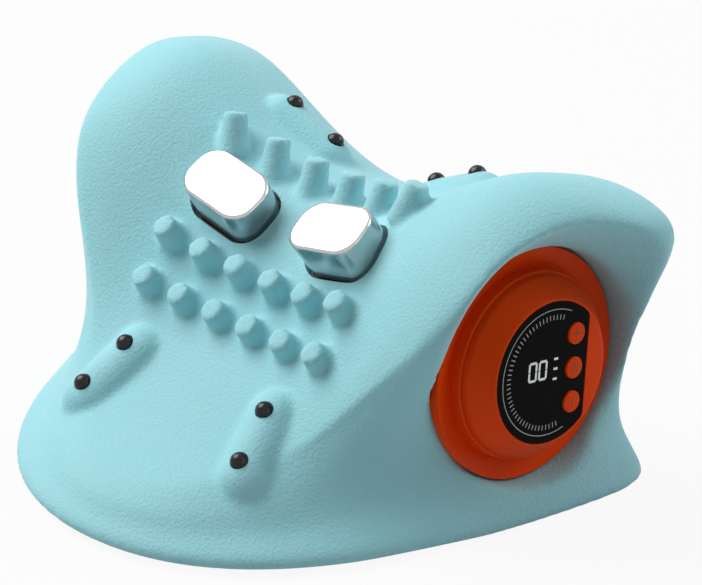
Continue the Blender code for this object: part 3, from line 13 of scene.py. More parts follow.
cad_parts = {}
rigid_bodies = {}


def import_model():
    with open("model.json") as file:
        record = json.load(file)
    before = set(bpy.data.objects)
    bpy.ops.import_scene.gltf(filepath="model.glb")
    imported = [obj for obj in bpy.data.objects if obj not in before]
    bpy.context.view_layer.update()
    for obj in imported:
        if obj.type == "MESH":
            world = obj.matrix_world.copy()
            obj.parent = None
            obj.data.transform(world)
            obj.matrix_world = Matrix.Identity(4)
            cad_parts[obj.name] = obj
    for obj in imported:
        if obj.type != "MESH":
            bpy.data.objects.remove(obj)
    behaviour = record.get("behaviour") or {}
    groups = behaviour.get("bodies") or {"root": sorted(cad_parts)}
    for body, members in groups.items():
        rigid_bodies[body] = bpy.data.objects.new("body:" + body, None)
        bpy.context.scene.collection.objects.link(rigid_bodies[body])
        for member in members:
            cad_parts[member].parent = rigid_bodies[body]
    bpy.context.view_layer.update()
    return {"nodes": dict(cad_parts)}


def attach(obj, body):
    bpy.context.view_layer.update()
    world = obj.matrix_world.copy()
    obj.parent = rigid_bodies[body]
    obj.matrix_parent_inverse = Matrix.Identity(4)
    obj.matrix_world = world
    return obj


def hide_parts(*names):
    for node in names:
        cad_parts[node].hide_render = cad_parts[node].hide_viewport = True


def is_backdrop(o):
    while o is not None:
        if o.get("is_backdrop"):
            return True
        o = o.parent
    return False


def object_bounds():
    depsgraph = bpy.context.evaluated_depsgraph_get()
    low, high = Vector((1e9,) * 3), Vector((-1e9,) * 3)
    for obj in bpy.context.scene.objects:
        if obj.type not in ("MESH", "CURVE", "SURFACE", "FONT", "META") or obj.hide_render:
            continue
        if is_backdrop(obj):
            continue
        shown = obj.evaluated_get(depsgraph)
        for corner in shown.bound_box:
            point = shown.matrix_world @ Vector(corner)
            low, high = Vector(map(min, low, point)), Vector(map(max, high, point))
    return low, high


for old in list(bpy.data.objects):
    bpy.data.objects.remove(old, do_unlink=True)

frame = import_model()
scene = bpy.context.scene

# Foam body
# One moulding of soft polyurethane foam with its own pale cyan skin, which has a fine leather grain.
# It carries everything else: its pockets hold the pod, the pulse pads, the beads and the drive bay.
BODY_Z = 0.0012
BODY_HALF_LENGTH = 0.1245
BODY_FRONT_Y = -0.0940
BODY_BACK_Y = 0.0875
FRONT_OVAL_DEPTH = 0.183
FRONT_CORNER_ANGLE = math.radians(45)
FRONT_FULLNESS = 0.89
BACK_CORNER_INWARD = (-1.0, -0.15)
BACK_CORNER_EASE = 0.004
BASE_EDGE_HEIGHT = 0.005
BASE_EDGE_INSET = 0.0008
BASE_FLAT_INSET = 0.009
TOP_PROFILE_Y = (-0.098, -0.070, -0.048, -0.029, -0.010, 0.002, 0.015, 0.028, 0.045, 0.068, 0.092)
CRADLE_HEIGHTS = (0.0114, 0.0184, 0.0264, 0.0384, 0.0524, 0.0674, 0.0844, 0.0899, 0.0909, 0.0864, 0.0787)
WING_HEIGHTS = (0.0124, 0.0124, 0.0154, 0.0355, 0.0784, 0.1024, 0.1154, 0.1249, 0.1294, 0.1219, 0.1129)
CRADLE_FORM_Y = (-0.020, -0.002, 0.040, 0.084)
CRADLE_FORM = (5.0, 3.6, 2.5, 2.7)
WING_CREST_X = 0.099
WING_ROLL = 0.026
WING_ROLL_START_X = 0.096
WING_ROLL_SPAN = 0.030
WING_ROLL_Y = (-0.030, 0.010, 0.036, 0.060, 0.090)
WING_ROLL_SHARES = (0.0, 1.0, 1.0, 0.40, 0.15)
FLANK_STATIONS = (0.0, 1.0, 1.3, 1.6, 2.0, 2.5, 3.0, 3.2, 4.0)
BASE_INSETS = (0.0, 0.0045, 0.0058, 0.0056, 0.0034, 0.0014, 0.0, 0.0, 0.0)
LIP_INSETS = (0.020, 0.031, 0.023, 0.008, 0.003, 0.002, -0.012, -0.0065, 0.0)
WAIST_INSETS = (0.010, 0.0215, 0.0225, 0.021, 0.0275, 0.0295, 0.014, 0.002, 0.0015)
WAIST_SHARES = (0.60, 0.42, 0.36, 0.34, 0.36, 0.38, 0.18, 0.22, 0.34)
LIP_ROUNDING = 0.001
FLARE_RING = (0.68, 0.42)
UNDER_LIP_RING = (0.38, 0.42)
LIP_EDGE_RING = (0.85, 0.79)
CAGE_CELLS = (10, 8, 7)
CAD_ROUNDING = 1
FINE_ROUNDING = 3
SHARP_ANGLE = math.radians(40)


def smooth_through(stations, values, at):
    """A smooth curve through the values given at the stations."""
    stations = np.asarray(stations, float)
    values = np.asarray(values, float)
    at = float(np.clip(at, stations[0], stations[-1]))
    i = int(min(np.searchsorted(stations, at, side="right") - 1, len(stations) - 2))
    gap = np.diff(stations)
    slope = np.diff(values) / gap
    tangent = np.empty(len(values))
    tangent[0] = slope[0]
    tangent[-1] = slope[-1]
    tangent[1:-1] = (slope[:-1] * gap[1:] + slope[1:] * gap[:-1]) / (gap[1:] + gap[:-1])
    t = (at - stations[i]) / gap[i]
    start = (2 * t**3 - 3 * t**2 + 1) * values[i] + (t**3 - 2 * t**2 + t) * gap[i] * tangent[i]
    end = (3 * t**2 - 2 * t**3) * values[i + 1] + (t**3 - t**2) * gap[i] * tangent[i + 1]
    return start + end


def top_height(x, y):
    """Height of the foam's top face: low in the cradle, high on the two wings."""
    cradle = smooth_through(TOP_PROFILE_Y, CRADLE_HEIGHTS, y)
    wing = smooth_through(TOP_PROFILE_Y, WING_HEIGHTS, y)
    form = np.interp(y, CRADLE_FORM_Y, CRADLE_FORM)
    rise = math.sin(0.5 * math.pi * min(abs(x) / WING_CREST_X, 1.0)) ** form
    past = max(abs(x) - WING_ROLL_START_X, 0.0) / WING_ROLL_SPAN
    roll = WING_ROLL * np.interp(y, WING_ROLL_Y, WING_ROLL_SHARES)
    return BODY_Z + cradle + (wing - cradle) * rise - roll * past**2


def base_point(station):
    """A point of the base outline and the way inward from it, on the right half."""
    oval_y = BODY_FRONT_Y + FRONT_OVAL_DEPTH
    back_angle = math.acos((oval_y - BODY_BACK_Y) / FRONT_OVAL_DEPTH)
    angle = np.interp(station, (0, 1, 3, 4), (0, FRONT_CORNER_ANGLE, back_angle, back_angle))
    across = BODY_HALF_LENGTH * math.sin(angle) ** FRONT_FULLNESS
    point = np.array((across, oval_y - FRONT_OVAL_DEPTH * math.cos(angle)))
    inward = np.array((-math.sin(angle) / BODY_HALF_LENGTH, math.cos(angle) / FRONT_OVAL_DEPTH))
    inward /= np.linalg.norm(inward)
    if station >= 3:
        point[0] = (point[0] - BACK_CORNER_EASE) * (4 - station)
        inward = np.array(BACK_CORNER_INWARD if station == 3 else (0.0, -1.0))
    return point, inward


def rim_point(u, v, ring):
    """A cage point on the flank at one ring, from the underside (0) to the lip (7)."""
    station = abs(u) if v == -1 else 4 - abs(u) if v == 1 else 2 + v
    point, inward = base_point(station)
    lip = smooth_through(FLANK_STATIONS, LIP_INSETS, station)
    waist = smooth_through(FLANK_STATIONS, WAIST_INSETS, station)
    share = smooth_through(FLANK_STATIONS, WAIST_SHARES, station)
    lip_z = top_height(*(point + inward * lip))
    base = smooth_through(FLANK_STATIONS, BASE_INSETS, station)
    edge = base + BASE_EDGE_INSET
    edge_z = BODY_Z + BASE_EDGE_HEIGHT
    waist_z = edge_z + (lip_z - edge_z) * share
    rings = (
        (base + BASE_FLAT_INSET, BODY_Z),
        (edge, BODY_Z),
        (edge, edge_z),
        (base + (waist - base) * FLARE_RING[0], edge_z + (waist_z - edge_z) * FLARE_RING[1]),
        (waist, waist_z),
        (waist + (lip - waist) * UNDER_LIP_RING[0], waist_z + (lip_z - waist_z) * UNDER_LIP_RING[1]),
        (
            waist + (lip - waist) * LIP_EDGE_RING[0] - LIP_ROUNDING,
            waist_z + (lip_z - waist_z) * LIP_EDGE_RING[1],
        ),
        (lip, lip_z),
    )
    inset, height = rings[ring]
    place = np.array((*(point + inward * inset), height))
    place[0] = math.copysign(place[0], u)
    return place


def cage_point(u, v, w):
    """Moves a point of the subdivided cube onto the foam's cage."""
    ring = round((w + 1) / 2 * CAGE_CELLS[2])
    if abs(u) == 1 or abs(v) == 1:
        return rim_point(u, v, ring)
    s, t = (u + 1) / 2, (v + 1) / 2
    across = (1 - t) * rim_point(u, -1, ring) + t * rim_point(u, 1, ring)
    along_y = (1 - s) * rim_point(-1, v, ring) + s * rim_point(1, v, ring)
    front = (1 - s) * rim_point(-1, -1, ring) + s * rim_point(1, -1, ring)
    back = (1 - s) * rim_point(-1, 1, ring) + s * rim_point(1, 1, ring)
    point = across + along_y - (1 - t) * front - t * back
    point[2] = top_height(point[0], point[1]) if w > 0 else BODY_Z
    return point


def smooth_mesh(name, shape):
    """A smooth-shaded mesh from a bmesh, with its sharper edges left sharp."""
    mesh = bpy.data.meshes.new(name)
    shape.to_mesh(mesh)
    shape.free()
    mesh.shade_smooth()
    mesh.set_sharp_from_angle(angle=SHARP_ANGLE)
    return mesh


def mesh_of(name, shape):
    """A smooth-shaded mesh from a bmesh whose faces are turned outwards first."""
    bmesh.ops.recalc_face_normals(shape, faces=shape.faces)
    return smooth_mesh(name, shape)


def add(name, mesh, material=None):
    """A piece at the origin, with its place in its mesh."""
    piece = bpy.data.objects.new(name, mesh)
    scene.collection.objects.link(piece)
    if material is not None:
        mesh.materials.clear()
        mesh.materials.append(material)
    return piece


def settled(piece):
    """The mesh that a helper's modifiers make. The helper is removed."""
    graph = bpy.context.evaluated_depsgraph_get()
    mesh = bpy.data.meshes.new_from_object(piece.evaluated_get(graph))
    bpy.data.objects.remove(piece)
    return mesh


def exact_cut(helper):
    """A new modifier on a helper that cuts something out of it exactly."""
    cut = helper.modifiers.new("cut", "BOOLEAN")
    cut.operation = "DIFFERENCE"
    cut.solver = "EXACT"
    return cut


def foam_form(levels):
    """The foam without nubs, pads or pockets, rounded from its cage."""
    shape = bmesh.new()
    bmesh.ops.create_cube(shape, size=2.0)
    for axis, cells in enumerate(CAGE_CELLS):
        whole = [e for e in shape.edges if abs((e.verts[0].co - e.verts[1].co)[axis]) == 2.0]
        bmesh.ops.subdivide_edges(shape, edges=whole, cuts=cells - 1, use_grid_fill=True)
    for vert in shape.verts:
        vert.co = cage_point(*(round(value, 6) for value in vert.co))
    form = add("foam_form", mesh_of("foam_form", shape))
    rounding = form.modifiers.new("rounding", "SUBSURF")
    rounding.levels = levels
    rounding.render_levels = levels
    return settled(form)


cad_skin = bmesh.new()
cad_skin.from_mesh(foam_form(CAD_ROUNDING))
bmesh.ops.triangulate(cad_skin, faces=cad_skin.faces)
SKIN = BVHTree.FromBMesh(cad_skin)


def skin_above(x, y):
    """The point and normal of the foam's top face at X and Y."""
    point, normal, _, _ = SKIN.ray_cast(Vector((x, y, 2 * BODY_HALF_LENGTH)), Vector((0.0, 0.0, -1.0)))
    return point, normal


def along(axis, up_hint, origin):
    """A place whose local Z runs along an axis and whose local Y leans towards the hint."""
    z = Vector(axis).normalized()
    x = Vector(up_hint).cross(z).normalized()
    turn = Matrix((x, z.cross(x), z)).transposed()
    return Matrix.Translation(origin) @ turn.to_4x4()


def lean(forward, outward):
    """The unit axis of a piece that leans forward (towards -Y) and outward (towards +X)."""
    return Matrix.Rotation(outward, 4, "Y") @ Matrix.Rotation(forward, 4, "X") @ Vector((0.0, 0.0, 1.0))


def turned(name, profile, sides, place=None):
    """A mesh turned round Z from (radius, height) pairs that run down its outer side."""
    shape = bmesh.new()
    rings = []
    for radius, height in profile:
        count = sides if radius > 0 else 1
        angles = [2 * math.pi * i / count for i in range(count)]
        points = [(radius * math.cos(a), radius * math.sin(a), height) for a in angles]
        rings.append([shape.verts.new(point) for point in points])
    for upper, lower in zip(rings, rings[1:]):
        for i in range(sides):
            j = (i + 1) % sides
            corners = [
                upper[i % len(upper)],
                lower[i % len(lower)],
                lower[j % len(lower)],
                upper[j % len(upper)],
            ]
            corners = list(dict.fromkeys(corners))
            if len(corners) > 2:
                shape.faces.new(corners)
    mesh = mesh_of(name, shape)
    mesh.transform(place or Matrix())
    return mesh


def rod(name, radius, low, high, place, sides=48):
    """A straight round solid between two heights."""
    return turned(name, [(0.0, high), (radius, high), (radius, low), (0.0, low)], sides, place)


def rounded_rectangle(length, width, corner, steps=10):
    """Points round a rectangle with rounded corners, about the origin."""
    points = []
    for quarter, (side_x, side_y) in enumerate(((1, 1), (-1, 1), (-1, -1), (1, -1))):
        for i in range(steps + 1):
            a = (quarter + i / steps) * math.pi / 2
            x = side_x * (length / 2 - corner) + corner * math.cos(a)
            points.append((x, side_y * (width / 2 - corner) + corner * math.sin(a)))
    return points


def lofted(name, rings, place=None):
    """A closed mesh through rings of equally many points, with a flat face at each end."""
    shape = bmesh.new()
    rows = [[shape.verts.new(point) for point in ring] for ring in rings]
    for lower, upper in zip(rows, rows[1:]):
        for i in range(len(lower)):
            j = (i + 1) % len(lower)
            shape.faces.new((lower[i], lower[j], upper[j], upper[i]))
    shape.faces.new(rows[0])
    shape.faces.new(rows[-1])
    mesh = mesh_of(name, shape)
    mesh.transform(place or Matrix())
    return mesh


def slab(name, outline, low, high, place=None):
    """A flat solid of one outline between two heights."""
    return lofted(name, [[(x, y, z) for x, y in outline] for z in (low, high)], place)


# The control pod's pocket, pre-cut a little wide so that its lip comes out soft. A tilted cone opens
# its mouth towards the front and the top.
POD_CENTRE = (0.108, 0.040, 0.0571)
POD_YAW = math.radians(4)
POD_PITCH = math.radians(5.5)
POD_ROLL = math.radians(9)
POD_AXIS = Vector(
    (math.cos(POD_PITCH) * math.cos(POD_YAW), -math.cos(POD_PITCH) * math.sin(POD_YAW), math.sin(POD_PITCH))
)
POD = along(POD_AXIS, (0, 0, 1), POD_CENTRE) @ Matrix.Rotation(-POD_ROLL, 4, "Z")
POD_SIDES = 128
FIT = 0.0003
FLANGE_RADIUS = 0.0433
FLANGE_FRONT = 0.0122
FLANGE_BACK = -0.0167
CUP_RADIUS = 0.0325
CUP_DEPTH = 0.034
POCKET_EASE = 0.0008
MOUTH_TILT = math.radians(14)
MOUTH_TILT_TOWARDS = math.radians(139)
MOUTH_SLOPE = 0.45
pocket_low = FLANGE_BACK - POCKET_EASE
pocket_radius = FLANGE_RADIUS + POCKET_EASE
mouth_top = pocket_radius + MOUTH_SLOPE * CUP_DEPTH
mouth_profile = [(0.0, CUP_DEPTH), (mouth_top, CUP_DEPTH), (pocket_radius, 0.0), (0.0, 0.0)]
mouth_axis = (-math.sin(MOUTH_TILT_TOWARDS), math.cos(MOUTH_TILT_TOWARDS), 0.0)
mouth_rise = pocket_radius * math.sin(MOUTH_TILT) - FLANGE_FRONT
mouth_place = POD @ Matrix.Translation((0.0, 0.0, mouth_rise)) @ Matrix.Rotation(MOUTH_TILT, 4, mouth_axis)
form = add("foam_form", foam_form(FINE_ROUNDING))
pocket = add("pod_pocket", rod("pod_pocket", pocket_radius, pocket_low, CUP_DEPTH, POD, POD_SIDES))
mouth = add("pod_mouth", turned("pod_mouth", mouth_profile, POD_SIDES, mouth_place))
for cutter in (pocket, mouth):
    exact_cut(form).object = cutter
form_mesh = settled(form)
bpy.data.objects.remove(pocket)
bpy.data.objects.remove(mouth)

# Three rows of moulded nubs: (Y, bow at the ends, lean forward, lean outward, height) for each
NUB_PITCH = 0.018
NUBS_PER_ROW = 6
NUB_ROWS = (
    (-0.0107, -0.0020, math.radians(40), 0.0, 0.0076),
    (0.0016, -0.0023, math.radians(36), 0.0, 0.0092),
    (0.0375, -0.0063, math.radians(-18), math.radians(12), 0.0126),
)
NUB_BASE_RADIUS = 0.0063
NUB_TOP_RADIUS = 0.0046
NUB_ROOT = 0.004
NUB_SIDES = 48


def points_mesh(name, places, scales):
    """Loose points that carry a turn and a scale for each copy."""
    mesh = bpy.data.meshes.new(name)
    mesh.from_pydata([place.translation for place in places], [], [])
    turn = mesh.attributes.new("turn", "FLOAT_VECTOR", "POINT")
    turn.data.foreach_set("vector", [value for place in places for value in place.to_euler()])
    scale = mesh.attributes.new("scale", "FLOAT_VECTOR", "POINT")
    scale.data.foreach_set("vector", [value for row in scales for value in row])
    return mesh


def give(node, values):
    """Sets a node's inputs by their labels. Returns the node."""
    for label, value in values.items():
        node.inputs[label].default_value = value
    return node


def start_tree(name, inputs):
    """A geometry tree with a geometry in and out and the named inputs. Returns it and their sockets."""
    tree = bpy.data.node_groups.new(name, "GeometryNodeTree")
    tree.interface.new_socket("Points", in_out="INPUT", socket_type="NodeSocketGeometry")
    sockets = {
        label: tree.interface.new_socket(label, in_out="INPUT", socket_type=kind).identifier
        for label, kind in inputs
    }
    tree.interface.new_socket("Copies", in_out="OUTPUT", socket_type="NodeSocketGeometry")
    return tree, sockets


def copies_of(tree, blank_socket, group_in):
    """Copies of a blank at the points, turned and scaled by them, made real and painted."""
    nodes, links = tree.nodes, tree.links
    copies = nodes.new("GeometryNodeInstanceOnPoints")
    for label, kind in (("turn", "Rotation"), ("scale", "Scale")):
        stored = give(nodes.new("GeometryNodeInputNamedAttribute"), {"Name": label})
        stored.data_type = "FLOAT_VECTOR"
        links.new(stored.outputs["Attribute"], copies.inputs[kind])
    real = nodes.new("GeometryNodeRealizeInstances")
    painted = nodes.new("GeometryNodeSetMaterial")
    group_out = nodes.new("NodeGroupOutput")
    links.new(group_in.outputs["Points"], copies.inputs["Points"])
    links.new(blank_socket, copies.inputs["Instance"])
    links.new(copies.outputs["Instances"], real.inputs["Geometry"])
    links.new(real.outputs["Geometry"], painted.inputs["Geometry"])
    links.new(group_in.outputs["Material"], painted.inputs["Material"])
    links.new(painted.outputs["Geometry"], group_out.inputs["Copies"])


def run_tree(name, tree, sockets, points, values):
    """A plain mesh of what the tree makes from the points with these input values."""
    helper = add(name, points)
    made = helper.modifiers.new(name, "NODES")
    made.node_group = tree
    for label, value in values.items():
        made[sockets[label]] = value
    return settled(helper)


nub_tree, nub_sockets = start_tree(
    "nub_rows",
    (
        ("Base Radius", "NodeSocketFloat"),
        ("Top Radius", "NodeSocketFloat"),
        ("Material", "NodeSocketMaterial"),
    ),
)
nub_in = nub_tree.nodes.new("NodeGroupInput")
nub_cone = give(nub_tree.nodes.new("GeometryNodeMeshCone"), {"Vertices": NUB_SIDES, "Depth": 1.0})
nub_tree.links.new(nub_in.outputs["Base Radius"], nub_cone.inputs["Radius Bottom"])
nub_tree.links.new(nub_in.outputs["Top Radius"], nub_cone.inputs["Radius Top"])
copies_of(nub_tree, nub_cone.outputs["Mesh"], nub_in)

foam_skin = bpy.data.materials.new("foam_skin")
nub_places, nub_scales = [], []
for row_y, bow, forward, outward, height in NUB_ROWS:
    for i in range(NUBS_PER_ROW):
        x = (i - (NUBS_PER_ROW - 1) / 2) * NUB_PITCH
        share = 2 * i / (NUBS_PER_ROW - 1) - 1
        root, _ = skin_above(x, row_y + bow * share**2)
        axis = lean(forward, outward * share)
        nub_places.append(along(axis, (0, 1, 0), root - axis * NUB_ROOT))
        nub_scales.append((1.0, 1.0, height + NUB_ROOT))
nub_values = {"Base Radius": NUB_BASE_RADIUS, "Top Radius": NUB_TOP_RADIUS, "Material": foam_skin}
nub_points = points_mesh("nub_points", nub_places, nub_scales)
nubs = run_tree("nubs", nub_tree, nub_sockets, nub_points, nub_values)

# Four moulded pads, each with two beads: X and Y of the beads, length and width of the pad
PADS = (
    ((0.0419, -0.0477), (0.0371, -0.0305), 0.046, 0.0200),
    ((0.0496, 0.0652), (0.0285, 0.0661), 0.044, 0.0185),
)
PAD_PROUD = 0.0058
PAD_CAD_REACH = 0.012
PAD_CAD_DEPTH = 0.0087
PAD_CAD_ROOT = 0.003
PAD_MIDDLE = 1e-6
pad_shape = bmesh.new()
BEAD_PLACES = []
for first, second, pad_length, pad_width in PADS:
    for side in (1, -1):
        ends = [skin_above(side * x, y) for x, y in (first, second)]
        run = ends[1][0] - ends[0][0]
        normal = (ends[0][1] + ends[1][1]).normalized()
        cross = normal.cross(run).normalized()
        turn = Matrix((run.normalized(), cross, run.normalized().cross(cross))).transposed()
        place = Matrix.Translation((ends[0][0] + ends[1][0]) / 2) @ turn.to_4x4()
        radius = ((pad_width / 2) ** 2 + PAD_PROUD**2) / (2 * PAD_PROUD)
        stretch = (pad_length - pad_width) / 2
        ball = bmesh.ops.create_uvsphere(pad_shape, u_segments=48, v_segments=24, radius=radius)["verts"]
        for vert in ball:
            vert.co.x += math.copysign(stretch, vert.co.x) if abs(vert.co.x) > PAD_MIDDLE else 0.0
            vert.co.z += PAD_PROUD - radius
        bmesh.ops.transform(pad_shape, matrix=place, verts=ball)
        spread = 1 / math.sqrt(1 - (PAD_CAD_ROOT / PAD_CAD_DEPTH) ** 2)
        half = (run.length / 2 + PAD_CAD_REACH) * spread
        crown = PAD_CAD_DEPTH * math.sqrt(1 - (run.length / 2 / half) ** 2) - PAD_CAD_ROOT
        for offset in (-run.length / 2, run.length / 2):
            BEAD_PLACES.append(place @ Matrix.Translation((offset, 0.0, crown)))
pads = mesh_of("bead_pads", pad_shape)

# The form, the nubs and the pads grow into one skin with soft fillets
FOAM_VOXEL = 0.0013
FILLET_PASSES = 5
SMOOTHING = 0.5
blend = bmesh.new()
for source in (form_mesh, nubs, pads):
    blend.from_mesh(source)
foam = add("foam_blend", mesh_of("foam_blend", blend))
remesh = foam.modifiers.new("one_skin", "REMESH")
remesh.mode = "VOXEL"
remesh.voxel_size = FOAM_VOXEL
fillets = foam.modifiers.new("fillets", "SMOOTH")
fillets.factor = SMOOTHING
fillets.iterations = FILLET_PASSES
foam = add("foam_soft", settled(foam))

# The mouth of the pod's pocket is rolled over softly, down to the flange that seats in it
LIP_PASSES = 45
LIP_LOW = -0.0140
LIP_FULL = -0.0070
LIP_REACH = (0.050, 0.062)
into_pod = np.array(POD.inverted())
skin = np.empty(3 * len(foam.data.vertices))
foam.data.vertices.foreach_get("co", skin)
local = skin.reshape(-1, 3) @ into_pod[:3, :3].T + into_pod[:3, 3]
away = np.hypot(local[:, 0], local[:, 1])
weights = np.interp(local[:, 2], (LIP_LOW, LIP_FULL), (0.0, 1.0))
weights *= np.interp(away, LIP_REACH, (1.0, 0.0))
lip_group = foam.vertex_groups.new(name="pocket_lip")
for index in np.flatnonzero(weights):
    lip_group.add((int(index),), float(weights[index]), "REPLACE")
lip_roll = foam.modifiers.new("lip_roll", "SMOOTH")
lip_roll.factor = SMOOTHING
lip_roll.iterations = LIP_PASSES
lip_roll.vertex_group = "pocket_lip"

# Pockets with exact walls: pulse pads, drive bay, base cover, pod cup, cable hole, charge port, beads
PULSE_X = 0.0294
PULSE_Y = 0.0169
PULSE_LEAN_FORWARD = math.radians(31.8)
PULSE_LEAN_INWARD = math.radians(11.7)
PULSE_LENGTH = 0.0350
PULSE_WIDTH = 0.0224
PULSE_CORNER = 0.0092
PULSE_PROUD = 0.0137
PULSE_SKIRT = 0.0222
PULSE_SEAT = -0.0248
GASKET_REACH = 0.0014
CUT_PAST = 0.010
PULSES = []
for side in (1, -1):
    axis = lean(PULSE_LEAN_FORWARD, -side * PULSE_LEAN_INWARD)
    root, _ = skin_above(side * PULSE_X, PULSE_Y)
    PULSES.append(along(axis, (0, 1, 0), root + axis * PULSE_PROUD))


def pulse_outline(offset):
    """The pulse cap's outline, this much larger all round."""
    return rounded_rectangle(PULSE_LENGTH + 2 * offset, PULSE_WIDTH + 2 * offset, PULSE_CORNER + offset)


BAY_HALF_LENGTH = 0.064
BAY_MIDDLE_Y = 0.033
BAY_DEPTH = 0.058
BAY_TOP_Z = 0.048
BAY_CORNER = 0.006
COVER_MARGIN = 0.012
COVER_CORNER = 0.010
COVER_TOP = 0.0042
TOWER_RADIUS = 0.0070
TOWER_LOW = 0.0447
CABLE_HOLE = (0.046, 0.038, 0.0045)
PORT_X = 0.043
PORT_Z = 0.028
PORT_BODY = (0.0125, 0.0065)
PORT_FLANGE = (0.018, 0.012)
PORT_CORNER = 0.003
PORT_SINK = 0.0025
BEAD_RADIUS = 0.0035
BEAD_SHANK_RADIUS = 0.0018
BEAD_SHANK_LENGTH = 0.0065
BEAD_HOLE_NECK = math.radians(148)
BEAD_HOLE_STEPS = 13
CUP_SIDES = 96
FOAM_SHARP_ANGLE = math.radians(50)


def bay_outline(offset, corner):
    """The drive bay's outline, this much larger all round."""
    points = rounded_rectangle(2 * (BAY_HALF_LENGTH + offset), BAY_DEPTH + 2 * offset, corner)
    return [(x, y + BAY_MIDDLE_Y) for x, y in points]


back, _, _, _ = SKIN.ray_cast(Vector((PORT_X, BODY_HALF_LENGTH, PORT_Z)), Vector((0.0, -1.0, 0.0)))
PORT = along((0, 1, 0), (0, 0, 1), back)
port_room = rounded_rectangle(PORT_BODY[0] + 2 * FIT, PORT_BODY[1] + 2 * FIT, PORT_CORNER + FIT)
port_seat = rounded_rectangle(PORT_FLANGE[0] + 2 * FIT, PORT_FLANGE[1] + 2 * FIT, PORT_CORNER + FIT)
cable_way = along((1, 0, 0), (0, 0, 1), (BAY_HALF_LENGTH, CABLE_HOLE[0], CABLE_HOLE[1]))
cable_end = POD_CENTRE[0] - BAY_HALF_LENGTH - CUP_DEPTH + CUT_PAST
cut_meshes = [
    slab("bay", bay_outline(0.0, BAY_CORNER), -CUT_PAST, BAY_TOP_Z),
    slab("rebate", bay_outline(COVER_MARGIN + FIT, COVER_CORNER + FIT), -CUT_PAST, COVER_TOP + FIT),
    rod("pod_cup", CUP_RADIUS + FIT, -CUP_DEPTH - FIT, FLANGE_BACK + CUT_PAST, POD, CUP_SIDES),
    rod("cable_hole", CABLE_HOLE[2], -CUT_PAST, cable_end, cable_way),
    slab("port_room", port_room, BAY_MIDDLE_Y - back.y, -PORT_SINK, PORT),
    slab("port_seat", port_seat, -PORT_SINK - FIT, CUT_PAST, PORT),
]
for pulse in PULSES:
    low = (TOWER_LOW - pulse.translation.z) / pulse.col[2].z
    cut_meshes.append(slab("pulse_pocket", pulse_outline(GASKET_REACH), PULSE_SEAT, CUT_PAST, pulse))
    cut_meshes.append(rod("tower_hole", TOWER_RADIUS + FIT, low, PULSE_SEAT + FIT, pulse))
ball = BEAD_RADIUS + FIT / 2
hole_end = -BEAD_SHANK_LENGTH - FIT
hole_arc = np.linspace(0.0, BEAD_HOLE_NECK, BEAD_HOLE_STEPS)
hole = [(ball * math.sin(a), ball * math.cos(a)) for a in hole_arc]
hole += [(BEAD_SHANK_RADIUS + FIT / 2, hole_end), (0.0, hole_end)]
for bead in BEAD_PLACES:
    cut_meshes.append(turned("bead_hole", hole, sides=32, place=bead))


def carved(name, helper, cuts, sharp):
    """The helper's mesh with the other meshes cut out of it, and its edges over the angle left sharp."""
    held = bpy.data.collections.new("cuts")
    scene.collection.children.link(held)
    for cut_mesh in cuts:
        held.objects.link(bpy.data.objects.new(cut_mesh.name, cut_mesh))
    step = exact_cut(helper)
    step.operand_type = "COLLECTION"
    step.collection = held
    made = settled(helper)
    for cutter in list(held.objects):
        bpy.data.objects.remove(cutter)
    bpy.data.collections.remove(held)
    made.name = name
    made.shade_smooth()
    made.set_sharp_from_angle(angle=sharp)
    return made


foam_mesh = carved("foam", foam, cut_meshes, FOAM_SHARP_ANGLE)
FOAM_COLOUR = (0.338, 0.672, 0.735, 1.0)
FOAM_DEEP_COLOUR = (0.304, 0.644, 0.705, 1.0)
GRAIN_PER_METRE = 900
GRAIN_DEPTH = 0.00032
MOTTLE_PER_METRE = 30


def start_group(name, inputs, outputs):
    """A shader group with values in and out. Returns it with its input and output nodes."""
    group = bpy.data.node_groups.new(name, "ShaderNodeTree")
    for label in inputs:
        group.interface.new_socket(label, in_out="INPUT", socket_type="NodeSocketFloat")
    for label in outputs:
        group.interface.new_socket(label, in_out="OUTPUT", socket_type="NodeSocketFloat")
    return group, group.nodes.new("NodeGroupInput"), group.nodes.new("NodeGroupOutput")


def grain_group():
    """Leather grain and a slow change of tone, both as values from 0 to 1."""
    group, given, result = start_group(
        "leather_grain", ("Grains Per Metre", "Mottle Per Metre"), ("Height", "Mottle")
    )
    nodes, links = group.nodes, group.links
    place = nodes.new("ShaderNodeTexCoord")
    cells = nodes.new("ShaderNodeTexVoronoi")
    cells.feature = "SMOOTH_F1"
    give(cells, {"Smoothness": 0.4})
    mottle = give(nodes.new("ShaderNodeTexNoise"), {"Detail": 3.0})
    links.new(place.outputs["Object"], cells.inputs["Vector"])
    links.new(place.outputs["Object"], mottle.inputs["Vector"])
    links.new(given.outputs["Grains Per Metre"], cells.inputs["Scale"])
    links.new(given.outputs["Mottle Per Metre"], mottle.inputs["Scale"])
    links.new(cells.outputs["Distance"], result.inputs["Height"])
    links.new(mottle.outputs["Fac"], result.inputs["Mottle"])
    return group


def principled(material):
    """The nodes, the links and the Principled shader of a material."""
    material.use_nodes = True
    tree = material.node_tree
    return tree.nodes, tree.links, tree.nodes["Principled BSDF"]


